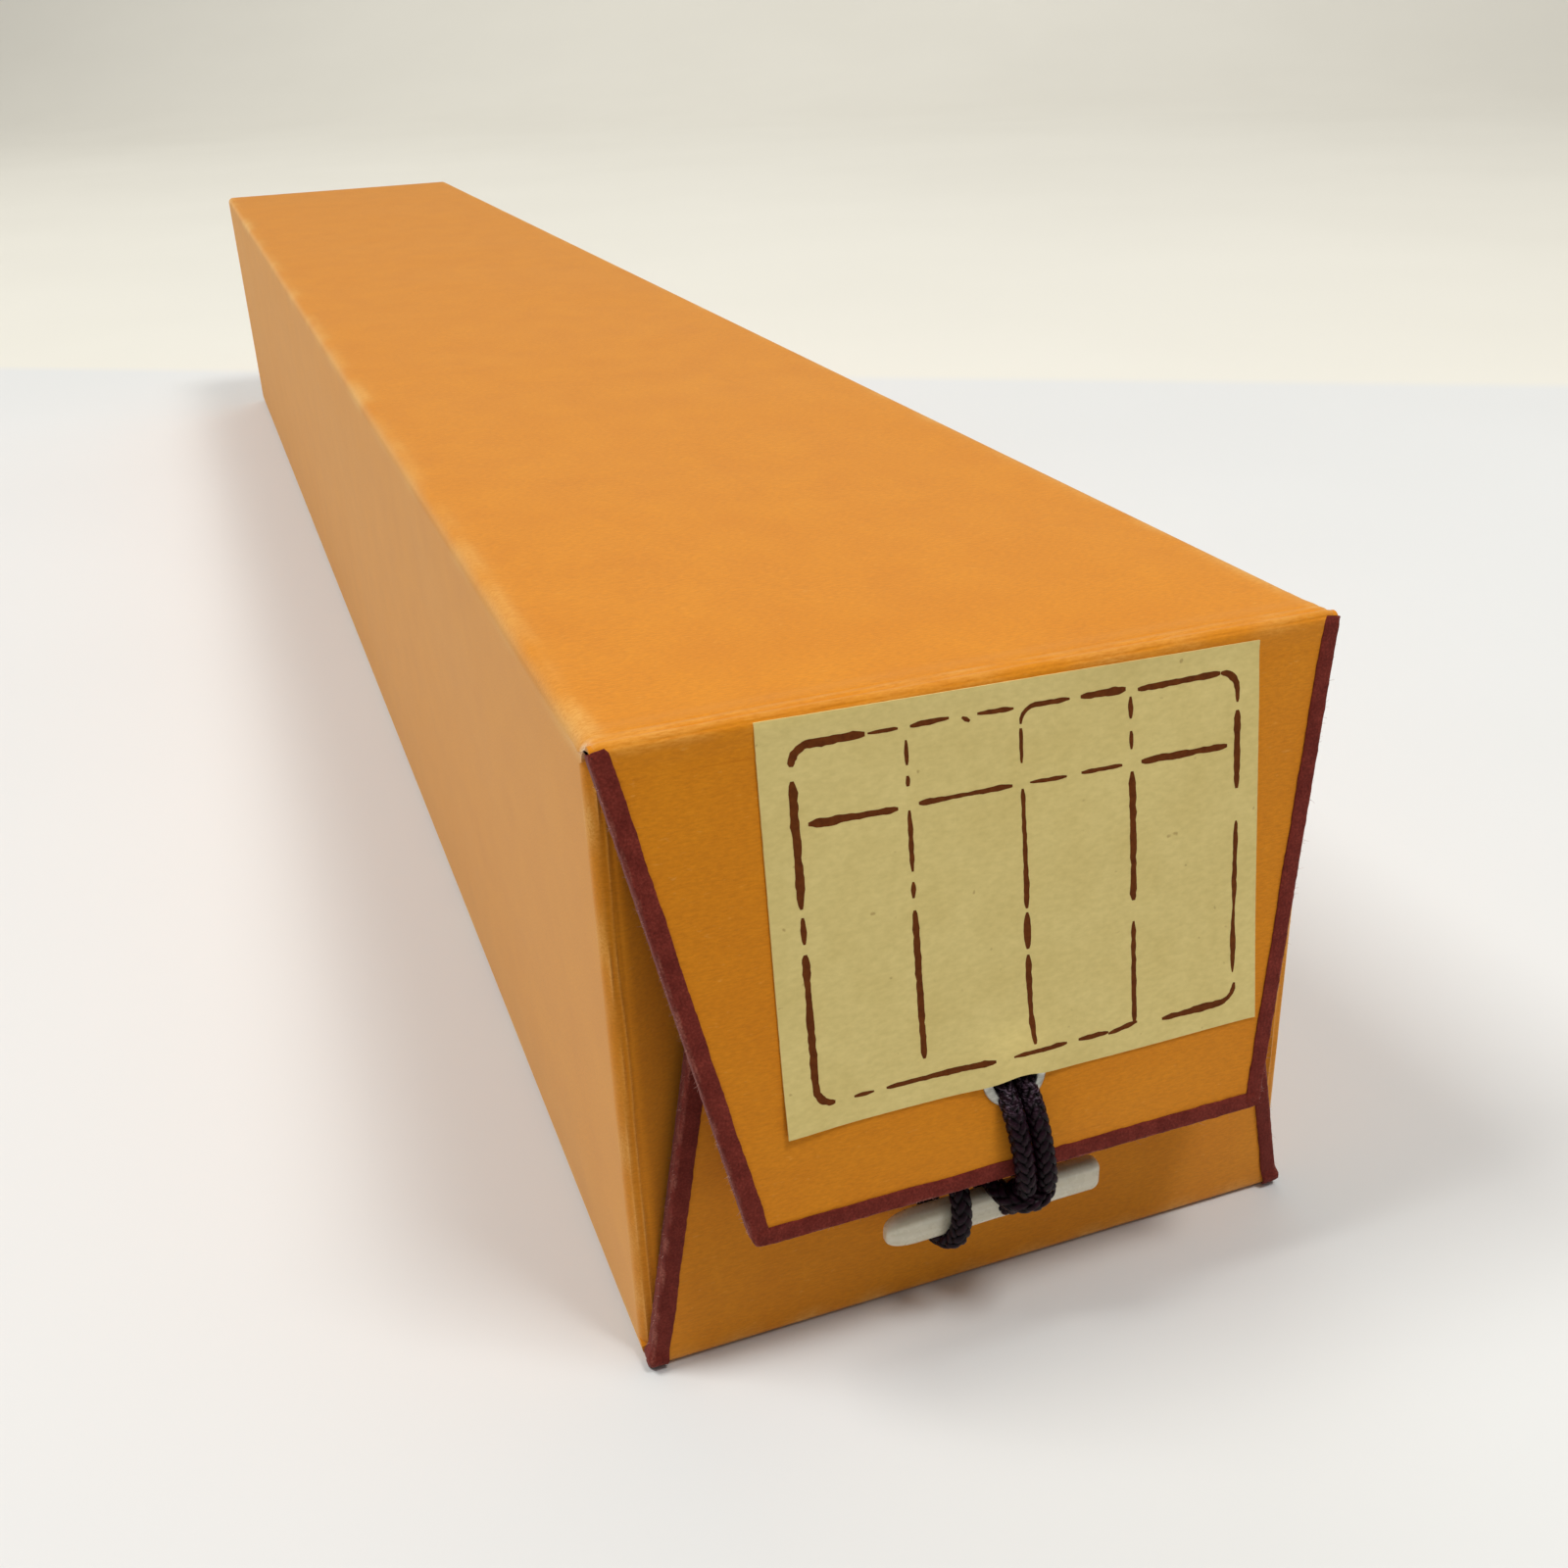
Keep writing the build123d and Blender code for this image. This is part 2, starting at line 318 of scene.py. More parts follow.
class Look:
    """A material in the making: its node tree, its shader and the object's own coordinates."""

    def __init__(self, name):
        self.material = bpy.data.materials.new(name)
        self.material.use_nodes = True
        self.nodes = self.material.node_tree.nodes
        self.links = self.material.node_tree.links
        self.shader = self.nodes["Principled BSDF"]
        self.place = self.nodes.new("ShaderNodeTexCoord").outputs["Object"]

    def set(self, **values):
        """Sets the shader's own sockets. A name's underscores stand for spaces."""
        for name, value in values.items():
            self.shader.inputs[name.replace("_", " ")].default_value = value

    def link(self, output, name):
        self.links.new(output, self.shader.inputs[name])

    def feed(self, socket, value):
        """Links a socket to value, or sets it to value where that is a number or a colour."""
        if isinstance(value, tuple):
            socket.default_value = (*value, 1)
        elif isinstance(value, float):
            socket.default_value = value
        else:
            self.links.new(value, socket)

    def noise(self, scale, detail=4.0, rough=0.55):
        """Noise with lumps of one unit per 1 / scale metres; scale is one number or three."""
        mapping = self.nodes.new("ShaderNodeMapping")
        mapping.inputs["Scale"].default_value = scale if isinstance(scale, tuple) else (scale,) * 3
        self.links.new(self.place, mapping.inputs["Vector"])
        texture = self.nodes.new("ShaderNodeTexNoise")
        texture.inputs["Scale"].default_value = 1.0
        texture.inputs["Detail"].default_value = detail
        texture.inputs["Roughness"].default_value = rough
        self.links.new(mapping.outputs["Vector"], texture.inputs["Vector"])
        return texture.outputs["Fac"]

    def ramp(self, value, *stops):
        """A colour ramp from (position, colour) stops. A colour is one grey value or (r, g, b)."""
        ramp = self.nodes.new("ShaderNodeValToRGB")
        elements = ramp.color_ramp.elements
        while len(elements) < len(stops):
            elements.new(0.5)
        for element, (position, colour) in zip(elements, stops):
            element.position = position
            element.color = (*colour, 1) if isinstance(colour, tuple) else (colour, colour, colour, 1)
        self.links.new(value, ramp.inputs["Fac"])
        return ramp.outputs["Color"]

    def mix(self, factor, a, b, blend="MIX"):
        """Colours a and b mixed. Each is a socket or (r, g, b), as factor is a socket or a number."""
        mix = self.nodes.new("ShaderNodeMix")
        mix.data_type = "RGBA"
        mix.blend_type = blend
        colours = [socket for socket in mix.inputs if socket.type == "RGBA"]
        for socket, value in zip([mix.inputs[0]] + colours, (factor, a, b)):
            self.feed(socket, value)
        return next(socket for socket in mix.outputs if socket.type == "RGBA")

    def calculate(self, operation, a, b):
        node = self.nodes.new("ShaderNodeMath")
        node.operation = operation
        node.use_clamp = operation != "SUBTRACT"
        for socket, value in zip(node.inputs, (a, b)):
            self.feed(socket, value)
        return node.outputs[0]

    def mark(self, name, share=None):
        """A piece's named mark, times share where that is given."""
        mark = self.nodes.new("ShaderNodeAttribute")
        mark.attribute_name = name
        value = mark.outputs["Fac"]
        return value if share is None else self.calculate("MULTIPLY", value, share)

    def bump(self, *heights):
        """Chained bumps from (height socket, distance in millimetres, strength)."""
        normal = None
        for height, distance, strength in heights:
            bump = self.nodes.new("ShaderNodeBump")
            bump.inputs["Distance"].default_value = distance * MM
            bump.inputs["Strength"].default_value = strength
            self.links.new(height, bump.inputs["Height"])
            if normal:
                self.links.new(normal, bump.inputs["Normal"])
            normal = bump.outputs["Normal"]
        self.link(normal, "Normal")


def board_material():
    """Matt orange paper with a fine tooth along X, paler where it is worn and where a highlight is
    painted on the bead and crease ridges, and pale where it is bare.
    """
    look = Look("orange_paper")
    mottle = look.noise((110, 80, 110), detail=4)
    fibres = look.noise((1200, 4200, 4200), detail=3, rough=0.6)
    tooth = look.noise(4600, detail=2)
    flecks = look.noise((700, 1900, 1900), detail=2)
    base = look.ramp(mottle, (0.3, (0.645, 0.206, 0.0014)), (0.7, (0.685, 0.230, 0.0024)))
    streaks = look.ramp(fibres, (0.30, (0.90, 0.87, 0.8)), (0.5, 1),
                        (0.72, (1.10, 1.15, 1.8)))
    base = look.mix(1.0, base, streaks, "MULTIPLY")
    light = look.ramp(flecks, (0.67, 0), (0.80, 0.5))
    base = look.mix(light, base, (0.78, 0.36, 0.06))
    patchy = look.ramp(fibres, (0.3, 0.25), (0.62, 1))
    # paler where the board is rubbed, and a painted highlight on the hinge bead and crease ridges, from
    # the same mark
    base = look.mix(look.mark("wear_and_highlight", patchy), base, (0.80, 0.43, 0.11))
    base = look.mix(look.mark("bare", patchy), base, (0.80, 0.72, 0.58))
    look.link(base, "Base Color")
    look.set(Roughness=0.7, Specular_IOR_Level=0.12, Sheen_Weight=0.42, Sheen_Roughness=0.5,
             Sheen_Tint=(1.0, 0.85, 0.5, 1))
    look.bump((mottle, 0.2, 0.15), (fibres, 0.04, 0.35), (tooth, 0.025, 0.35))
    return look.material


def tape_material():
    """Maroon cloth tape with a fine weave, rubbed paler along its outer edge."""
    look = Look("maroon_cloth")
    cloud = look.noise(500, detail=4)
    weave = look.noise(3600, detail=2)
    base = look.ramp(cloud, (0.3, (0.125, 0.015, 0.010)), (0.72, (0.185, 0.027, 0.018)))
    flecks = look.ramp(weave, (0.3, 0.72), (0.5, 1), (0.8, (1.5, 1.7, 1.8)))
    base = look.mix(1.0, base, flecks, "MULTIPLY")
    rub_and_highlight = look.mark("wear_and_highlight", look.ramp(weave, (0.35, 0.2), (0.6, 1)))
    base = look.mix(rub_and_highlight, base, (0.42, 0.16, 0.115))
    look.link(base, "Base Color")
    look.set(Roughness=0.85, Specular_IOR_Level=0.1, Sheen_Weight=0.15, Sheen_Roughness=0.45,
             Sheen_Tint=(1.0, 0.72, 0.68, 1))
    look.bump((cloud, 0.12, 0.4), (weave, 0.06, 0.6))
    return look.material


def fuzz_material():
    """Pale loose fibres of the maroon tape."""
    look = Look("cloth_fuzz")
    cloud = look.noise(300)
    base = look.ramp(cloud, (0.3, (0.42, 0.14, 0.11)), (0.7, (0.72, 0.48, 0.40)))
    look.link(base, "Base Color")
    look.set(Roughness=0.8)
    return look.material


def label_material():
    """Cream paper with faint clouds and small fibres."""
    look = Look("cream_paper")
    cloud = look.noise(140, detail=5)
    fibre = look.noise((900, 2200, 1700), detail=4)
    speck = look.noise(750, detail=1)
    base = look.ramp(cloud, (0.3, (0.71, 0.56, 0.20)), (0.7, (0.765, 0.615, 0.235)))
    tone = look.ramp(fibre, (0.3, (0.93, 0.92, 0.89)), (0.7, (1.04, 1.04, 1.06)))
    base = look.mix(1.0, base, tone, "MULTIPLY")
    dots = look.ramp(speck, (0.755, 0), (0.80, 0.55))
    base = look.mix(dots, base, (0.36, 0.21, 0.05))
    look.link(base, "Base Color")
    look.set(Roughness=0.7, Specular_IOR_Level=0.4)
    look.bump((cloud, 0.25, 0.2), (fibre, 0.02, 0.4))
    return look.material


def print_material():
    """Matt brown printing ink that thins out in places."""
    look = Look("brown_print")
    cover = look.noise(1500, detail=3)
    base = look.ramp(cover, (0.3, (0.105, 0.024, 0.004)), (0.75, (0.165, 0.042, 0.007)))
    look.link(base, "Base Color")
    look.set(Roughness=0.7, Specular_IOR_Level=0.08)
    return look.material


def eyelet_material():
    """Dull pressed metal with fine rubbed marks."""
    look = Look("dull_metal")
    rub = look.noise((700, 700, 2400), detail=4)
    base = look.ramp(rub, (0.3, (0.30, 0.29, 0.25)), (0.7, (0.56, 0.55, 0.50)))
    look.link(base, "Base Color")
    rough = look.ramp(rub, (0.3, 0.5), (0.7, 0.28))
    look.link(rough, "Roughness")
    look.set(Metallic=0.9)
    look.bump((rub, 0.03, 0.4))
    return look.material


def cord_material():
    """Dark purple yarn with painted shade: near black in the troughs between yarns and its own colour
    where a yarn lies on top, with pale worn filaments.
    """
    look = Look("purple_yarn")
    strand = look.noise((1800, 1800, 5200), detail=3)
    cloud = look.noise(420, detail=2)
    yarn = look.ramp(cloud, (0.3, (0.0095, 0.0024, 0.0058)), (0.7, (0.020, 0.0052, 0.012)))
    # painted shade: near black in the troughs between the yarns, and the yarn's colour on the crests that
    # face the light
    base = look.mix(look.mark("painted_crest_light"), (0.0006, 0.0002, 0.0003), yarn)
    threads = look.ramp(strand, (0.35, 0.6), (0.7, (1.7, 1.5, 1.6)))
    base = look.mix(1.0, base, threads, "MULTIPLY")
    rub_and_highlight = look.mark("wear_and_highlight", look.ramp(strand, (0.5, 0), (0.66, 1)))
    base = look.mix(rub_and_highlight, base, (0.34, 0.24, 0.33))
    look.link(base, "Base Color")
    look.set(Roughness=0.38, Specular_IOR_Level=0.10)
    look.bump((strand, 0.05, 0.5))
    return look.material


def toggle_material():
    """Polished ivory-coloured plastic with faint bands along it."""
    look = Look("ivory_plastic")
    bands = look.noise((60, 900, 900), detail=2)
    speck = look.noise(900, detail=2)
    base = look.ramp(bands, (0.3, (0.60, 0.53, 0.37)), (0.5, (0.69, 0.63, 0.48)),
                     (0.72, (0.75, 0.70, 0.57)))
    look.link(base, "Base Color")
    rough = look.ramp(speck, (0.3, 0.22), (0.7, 0.34))
    look.link(rough, "Roughness")
    look.set(Subsurface_Weight=0.15, Subsurface_Radius=(0.0012, 0.0009, 0.0006),
             Subsurface_Scale=1.0, Coat_Weight=0.4, Coat_Roughness=0.12)
    look.bump((bands, 0.05, 0.15))
    return look.material


board_paper = board_material()
maroon_cloth = tape_material()
cloth_fuzz = fuzz_material()
cream_paper = label_material()
brown_print = print_material()
dull_metal = eyelet_material()
purple_yarn = cord_material()
ivory_plastic = toggle_material()


# ---------------------------------------------------------------- case

def rounded_ring(side_steps, arc_steps):
    """Points round the case's section: (outer, inner, edge), where edge is 1 on a rounded corner."""
    ring = []
    corners = [(1, 1), (-1, 1), (-1, 0), (1, 0)]

    def on_corner(corner, angle):
        """The outer and the inner point of a rounded corner."""
        side, top = corner
        pair = []
        for inset, radius in ((0, long_edge_radius), (board, inner_edge_radius)):
            reach = inset + radius
            centre = Vector((side * (half_width - reach), 0, height - reach if top else reach))
            pair.append(centre + radius * Vector((math.cos(angle), 0, math.sin(angle))))
        return pair

    for turn, corner in enumerate(corners):
        for angle in steps(math.pi / 2 * turn, math.pi / 2 * (turn + 1), arc_steps):
            ring.append((*on_corner(corner, angle), 1.0))
        out_start, in_start, _ = ring[-1]
        out_end, in_end = on_corner(corners[(turn + 1) % 4], math.pi / 2 * (turn + 1))
        for i in range(1, side_steps):
            # closer together near the corners
            t = 0.5 - 0.5 * math.cos(math.pi * i / side_steps)
            reach = (out_end - out_start).length * min(t, 1 - t)
            ring.append((out_start.lerp(out_end, t), in_start.lerp(in_end, t), bell(reach, 0.9) * 0.8))
    return ring


def panel_wave(point, normal):
    """How far a panel stands out of flat, in millimetres; nothing at its edges."""
    across = half_width - abs(point.x) if abs(normal.z) > 0.5 else min(point.z, height - point.z)
    along = min(point.y - front_y, back_y - point.y)
    fade = smooth(1, 14, across) * smooth(0, 25, along)
    swell = ripple(point.x, point.y, point.z, 55, 3.1) * 0.45
    return fade * (swell + ripple(point.x, point.y, point.z, 19, 8.7) * 0.12)


def worn_corner(point):
    """1 at the bare spot on the case's front upper left corner, and 0 away from it."""
    spot = Vector((-half_width + 0.2, front_y - 0.6, height - 0.9))
    return bell((point - spot).length, 0.85)


def edge_wear(edge, point):
    """How worn the case is at a point, where edge is 1 on a rounded long edge and 0 well off it."""
    return max(0.0, edge * (0.22 + 0.8 * ripple(point.x, point.y, point.z, 9, 1.7)))


def case_tube():
    """Four long panels and the back panel, as one closed shell that is open at the front."""
    ring = rounded_ring(26, 6)
    slit_low = board + flap_slit
    slit_high = height - board - flap_slit
    length_steps = 84
    outer, inner, wear_outer, wear_inner = [], [], [], []

    def front_of(point):
        on_wall = abs(point.x) > half_width - board - 0.01 and slit_low < point.z < slit_high
        return front_y + (fold_start if on_wall else 0)

    rounding = steps(0, math.pi / 2, 4)
    for row in range(length_steps + 1):
        t = row / length_steps
        for out, inn, edge in ring:
            front = front_of(out)
            y = front + (back_y - back_edge_radius - front) * t
            under_skin = row == 0 and out.z > height - 0.01 and abs(out.x) < half_width - 5
            set_back = top_set_back if under_skin else 0.0
            y += set_back
            normal = Vector((out.x, 0, 0)).normalized() if front > front_y or abs(
                out.x) > half_width - 0.01 else Vector((0, 0, 1 if out.z > height / 2 else -1))
            place = Vector((out.x, y, out.z))
            lift = panel_wave(place, normal)
            if out.z < height / 2 and abs(normal.z) > 0.5:
                lift = 0
            outer.append(place + normal * lift)
            wear_outer.append(edge_wear(edge, place))
            y_in = front + (back_y - board - front) * t + set_back
            inner.append(Vector((inn.x, y_in, inn.z)) + normal * lift)
            wear_inner.append(0.0)
    for angle in rounding[1:]:
        inset = back_edge_radius * (1 - math.cos(angle))
        y = back_y - back_edge_radius + back_edge_radius * math.sin(angle)
        for out, inn, edge in ring:
            shrink = Vector((1 - inset / half_width, 0, 1 - inset / (height / 2)))
            outer.append(Vector((out.x * shrink.x, y,
                                 height / 2 + (out.z - height / 2) * shrink.z)))
            wear_outer.append(0.3 * max(edge, bell(inset - 0.2, 0.4)))
    count = len(ring)
    points = outer + inner
    skin = len(outer)
    faces = []
    for row in range(len(outer) // count - 1):
        for i in range(count):
            j = (i + 1) % count
            faces.append((row * count + i, row * count + j, (row + 1) * count + j, (row + 1) * count + i))
    for row in range(length_steps):
        for i in range(count):
            j = (i + 1) % count
            a, b = skin + row * count + i, skin + row * count + j
            faces.append((a + count, b + count, b, a))
    for i in range(count):
        j = (i + 1) % count
        faces.append((j, i, skin + i, skin + j))
    faces.append(tuple(skin - count + i for i in range(count)))
    faces.append(tuple(len(points) - 1 - i for i in range(count)))
    marks = {"wear_and_highlight": [max(0.0, w) for w in wear_outer + wear_inner],
             "bare": [worn_corner(point) for point in points]}
    return make_piece("case_tube", points, faces, board_paper, "case",
                      ["case_shell"], marks)


def folded_path(corners, radii, depth, spacing):
    """Stations along a folded board seen end on: (outer, inner, distance) for each.

    corners are (a, b) points of the outer face in order, and the board lies to the left of them."""
    stations = []
    distance = 0.0
    previous = Vector(corners[0])

    def left_of(direction):
        return Vector((-direction.y, direction.x))

    def run(start, end, inner_start, inner_end, gap):
        nonlocal distance
        length = (end - start).length
        count = max(1, round(length / gap))
        for i in range(0 if not stations else 1, count + 1):
            t = i / count
            stations.append((start.lerp(end, t), inner_start.lerp(inner_end, t), distance + length * t))
        distance += length

    directions = [(Vector(b) - Vector(a)).normalized() for a, b in zip(corners, corners[1:])]
    inner_previous = previous + left_of(directions[0]) * depth
    for i, radius in enumerate(radii):
        corner = Vector(corners[i + 1])
        before, after = directions[i], directions[i + 1]
        turn = math.atan2(before.x * after.y - before.y * after.x, before.dot(after))
        half = abs(turn) / 2
        side = 1 if turn > 0 else -1
        tangent = radius * math.tan(half)
        mitre = (left_of(before) + left_of(after)).normalized() / math.cos(half)
        inner_corner = corner + mitre * depth
        inner_radius = max(radius - side * depth, 0.1)
        inner_tangent = inner_radius * math.tan(half)
        run(previous, corner - before * tangent, inner_previous,
            inner_corner - before * inner_tangent, spacing[i])
        centre = corner - before * tangent + left_of(before) * radius * side
        inner_centre = inner_corner - before * inner_tangent + left_of(before) * inner_radius * side
        arc_steps = 7
        for k in range(1, arc_steps + 1):
            angle = turn * k / arc_steps
            outwards = -side * left_of(before)
            direction = Vector((outwards.x * math.cos(angle) - outwards.y * math.sin(angle),
                                outwards.x * math.sin(angle) + outwards.y * math.cos(angle)))
            distance += radius * abs(turn) / arc_steps
            stations.append((centre + direction * radius, inner_centre + direction * inner_radius,
                             distance))
        previous = stations[-1][0]
        inner_previous = stations[-1][1]
    end = Vector(corners[-1])
    run(previous, end, inner_previous, end + left_of(directions[-1]) * depth, spacing[-1])
    return stations


def side_flap(side):
    """One side flap with its fold strip, from where the side wall ends. side is -1 on the left."""
    bend = Vector((-half_width + fold_strip, front_y))
    end = bend + side_flap_length * Vector((math.cos(side_flap_lean), math.sin(side_flap_lean)))
    corners = [(-half_width, front_y + fold_start), (-half_width, front_y), bend, end]
    stations = folded_path(corners, [fold_radius, 2.0], board, [0.3, 0.11, 1.5])
    low, high = board + flap_slit, height - board - flap_slit
    rows = 56
    outer, inner, wear_and_highlight = [], [], []
    for i in range(rows + 1):
        share = i / rows
        for out, inn, distance in stations:
            reach = max(0.0, out.x - bend.x)
            taper = reach * math.tan(side_flap_taper)
            z = low + taper + (high - low - 2 * taper) * share
            strip = out.x + half_width
            drift = ripple(0, 0, z, 17, 5.0) * 0.35
            crease = (0.20 * bell(strip - 0.95 - drift, 0.17) + 0.15 * bell(strip - 1.75 - drift, 0.14)
                      - 0.09 * bell(strip - 1.35 - drift, 0.12) - 0.07 * bell(strip - 2.3, 0.2))
            crease *= 0.75 + ripple(0, 3 * strip, z, 6, 2.0)
            on_strip = smooth(0.3, 0.7, strip) * (1 - smooth(2.5, 3.2, strip))
            y = out.y - crease * on_strip
            swell = smooth(4, 12, strip) * ripple(strip, 0, z, 18, 9.0) * 0.3
            outer.append((-side * out.x, y + swell, z))
            inner.append((-side * inn.x, inn.y + swell, z))
            # rubbed paler along the fold's edge; the crease ridges on the strip get a painted highlight,
            # paler as they stand higher
            edge = bell(strip - 0.3, 0.45) * (0.10 + ripple(0, 0, z, 7, 4.0))
            wear_and_highlight.append(max(0.0, edge) + 0.5 * max(0.0, crease) / 0.2 * on_strip)
    points = outer + inner
    name = "side_flap_left" if side < 0 else "side_flap_right"
    return make_piece(name, points, slab_faces(rows + 1, len(stations)), board_paper, "case",
                      ["case_shell"], {"wear_and_highlight": wear_and_highlight + [0.0] * len(inner)})


def half_at(taper, distance):
    return flap_half_width - distance * math.tan(taper)


def lower_flap():
    """The flap that folds up from the base panel, rounded where it folds."""
    corners = [(front_y, 0), (flap_front_y, 0), (flap_front_y, lower_flap_height)]
    # seen along -X the path runs forwards, then up
    stations = folded_path([(-a, b) for a, b in corners], [fold_radius], board, [0.4, 1.5])
    columns = 60
    outer, inner, wear_and_highlight = [], [], []
    for out, inn, distance in stations:
        for column in range(columns + 1):
            across = -1 + 2 * column / columns
            swell = 0.35 * ripple(40 * across, 0, out.y, 22, 6.0) * smooth(3, 14, out.y)
            swell *= smooth(0, 0.12, 1 - abs(across))
            outer.append((across * half_at(lower_flap_taper, out.y), -out.x + swell, out.y))
            inner.append((across * half_at(lower_flap_taper, max(0, inn.y)), -inn.x + swell, inn.y))
            wear_and_highlight.append(max(0.0, bell(out.y - 0.9, 0.7) * (0.2 + ripple(40 * across, 0, 0, 4, 2.0))))
    points = outer + inner
    piece = make_piece("lower_flap_panel", points, slab_faces(len(stations), columns + 1),
                       board_paper, "case", ["case_shell"],
                       {"wear_and_highlight": wear_and_highlight + [0.0] * len(inner)})
    cut_round_hole(piece, lower_eyelet, eyelet_hole_radius + eyelet_wall + 0.02, 0)
    shade(piece, 35)
    return piece


def flap_wave(x, drop):
    """How far the top flap's face stands out of flat."""
    fade = smooth(0, 9, drop) * smooth(0, 7, top_flap_length - drop)
    fade *= smooth(0, 7, half_at(top_flap_taper, drop) - abs(x))
    return fade * 0.4 * ripple(x, drop, 0, 24, 12.0)


def top_flap():
    """The flap that hangs down over the front, with its round upper edge in the hinge."""
    columns = 60
    profile = [(flap_face * -math.sin(a), flap_face * math.cos(a)) for a in steps(math.pi / 2, 0, 5)]
    drops = [(d, flap_face) for d in steps(0, top_flap_length, 40)[1:]]
    outer, inner, wear_and_highlight = [], [], []
    for drop, out in profile + drops:
        for column in range(columns + 1):
            across = -1 + 2 * column / columns
            x = across * half_at(top_flap_taper, max(0.0, drop))
            wave = flap_wave(x, drop)
            outer.append(on_top_flap(x, drop, out + wave))
            inner.append(on_top_flap(x, drop, -max(out, 0.02) + wave))
            wear_and_highlight.append(0.0)
    points = outer + inner
    piece = make_piece("top_flap_panel", points, slab_faces(len(profile + drops), columns + 1),
                       board_paper, "top_flap", ["top_flap"],
                       {"wear_and_highlight": wear_and_highlight + [0.0] * len(inner)})
    cut_round_hole(piece, on_top_flap(0, top_eyelet_drop, 0),
                   eyelet_hole_radius + eyelet_wall + 0.02, top_flap_lean)
    shade(piece, 35)
    return piece


bead_radius = 1.12


def bead_out(drop):
    """How far the hinge skin's face stands out from the flap's mid plane."""
    if drop < 0:
        return math.sqrt(max(0.0, bead_radius ** 2 - drop ** 2))
    return flap_face + 0.04 + (bead_radius - flap_face - 0.04) * (1 - smooth(0.2, 2.4, drop))


def skin_stations():
    """The hinge skin seen end on, from back to front: (place, outwards, half width, share) for each,
    where share is 0 on the case and 1 on the flap."""
    stations = []
    for y in steps(front_y + 6.5, hinge.y + 0.02, 44):
        bead = 0.12 * smooth(front_y + 4.0, front_y + 1.5, y)
        share = smooth(front_y + 1.2, hinge.y, y)
        stations.append((Vector((y, height + 0.03 + bead)), Vector((0, 1)), flap_half_width, share))
    for angle in steps(0, math.pi / 2 - top_flap_lean, 14)[1:]:
        direction = Vector((-math.sin(angle), math.cos(angle)))
        place = Vector((hinge.y, hinge.z)) + direction * bead_radius
        stations.append((place, direction, flap_half_width, 1.0))
    for drop in steps(0, 3.2, 18)[1:]:
        point = on_top_flap(0, drop, bead_out(drop))
        outwards = Vector((-math.cos(top_flap_lean), math.sin(top_flap_lean)))
        stations.append((Vector((point.y, point.z)), outwards, half_at(top_flap_taper, drop), 1.0))
    return stations


def hinge_skin():
    """Cover paper that runs over the top panel's front edge and down on to the flap, with a bead.
    Its two ends follow the case's rounded long edges, and close round the flap's."""
    thickness = 0.16
    corner = half_width - long_edge_radius
    wrap = math.radians(75)
    arc = steps(0, 1, 8)[1:]
    columns = ([(-1, k) for k in reversed(arc)] + [(0, x) for x in steps(-corner, corner, 168)]
               + [(1, k) for k in arc])

    def skin_point(station, column, lift):
        place, outwards, half, share = station
        side, value = column
        at = place + outwards * lift
        if side == 0:
            return Vector((value, at.x, at.y))
        radius = long_edge_radius + place.y - height + lift
        on_case = Vector((side * (corner + radius * math.sin(value * wrap)), place.x,
                          height - long_edge_radius + radius * math.cos(value * wrap)))
        turn = value * math.pi / 2
        at = place + outwards * (lift - 0.85 * (1 - math.cos(turn)))
        on_flap = Vector((side * (corner + (half - corner) * math.sin(turn)), at.x, at.y))
        return on_case.lerp(on_flap, share)

    outer, inner, wear_and_highlight = [], [], []
    travelled = 0.0
    stations = skin_stations()
    last = stations[0][0]
    for station in stations:
        travelled += (station[0] - last).length
        last = station[0]
        for column in columns:
            x = column[1] if column[0] == 0 else column[0] * half_width
            shift = 0.22 * ripple(x, 0, 0, 16, 7.0)
            rise = 0.0
            for at, tall, wide in ((5.7, -0.06, 0.16), (6.5, 0.07, 0.2), (7.2, -0.07, 0.15),
                                   (8.0, 0.08, 0.24), (8.8, -0.07, 0.16), (9.6, 0.03, 0.25)):
                rise += tall * bell(travelled - at - shift, wide)
            rise *= 0.8 + 1.0 * ripple(x, travelled, 0, 5, 3.0)
            rise += 0.03 * ripple(x, 2 * travelled, 0, 2.5, 1.0) * smooth(4, 6, travelled)
            outer.append(skin_point(station, column, rise))
            inner.append(skin_point(station, column, -thickness))
            # painted highlight: the band over the bead is paler, most of all on its crease ridges where
            # rise is high, with some rubbed wear
            rub_and_highlight = smooth(5.0, 6.4, travelled) * (1 - smooth(9.0, 10.4, travelled))
            edge = 1.0 if column[0] else 0.8 * bell(corner - abs(x), 0.9)
            worn_edge = edge_wear(edge, outer[-1]) * (1 - station[3])
            wear_and_highlight.append(worn_edge + max(0.0, rub_and_highlight * (0.12 + 2.4 * rise
                                                     + 0.4 * ripple(x, travelled, 0, 6, 9.0))))
    points = outer + inner
    marks = {"wear_and_highlight": wear_and_highlight + [0.0] * len(inner), "bare": [worn_corner(point) for point in points]}
    piece = make_piece("hinge_skin", points, slab_faces(len(stations), len(columns)), board_paper,
                       None, ["top_flap"], marks)
    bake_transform(piece)
    return piece


# ---------------------------------------------------------------- binding tape

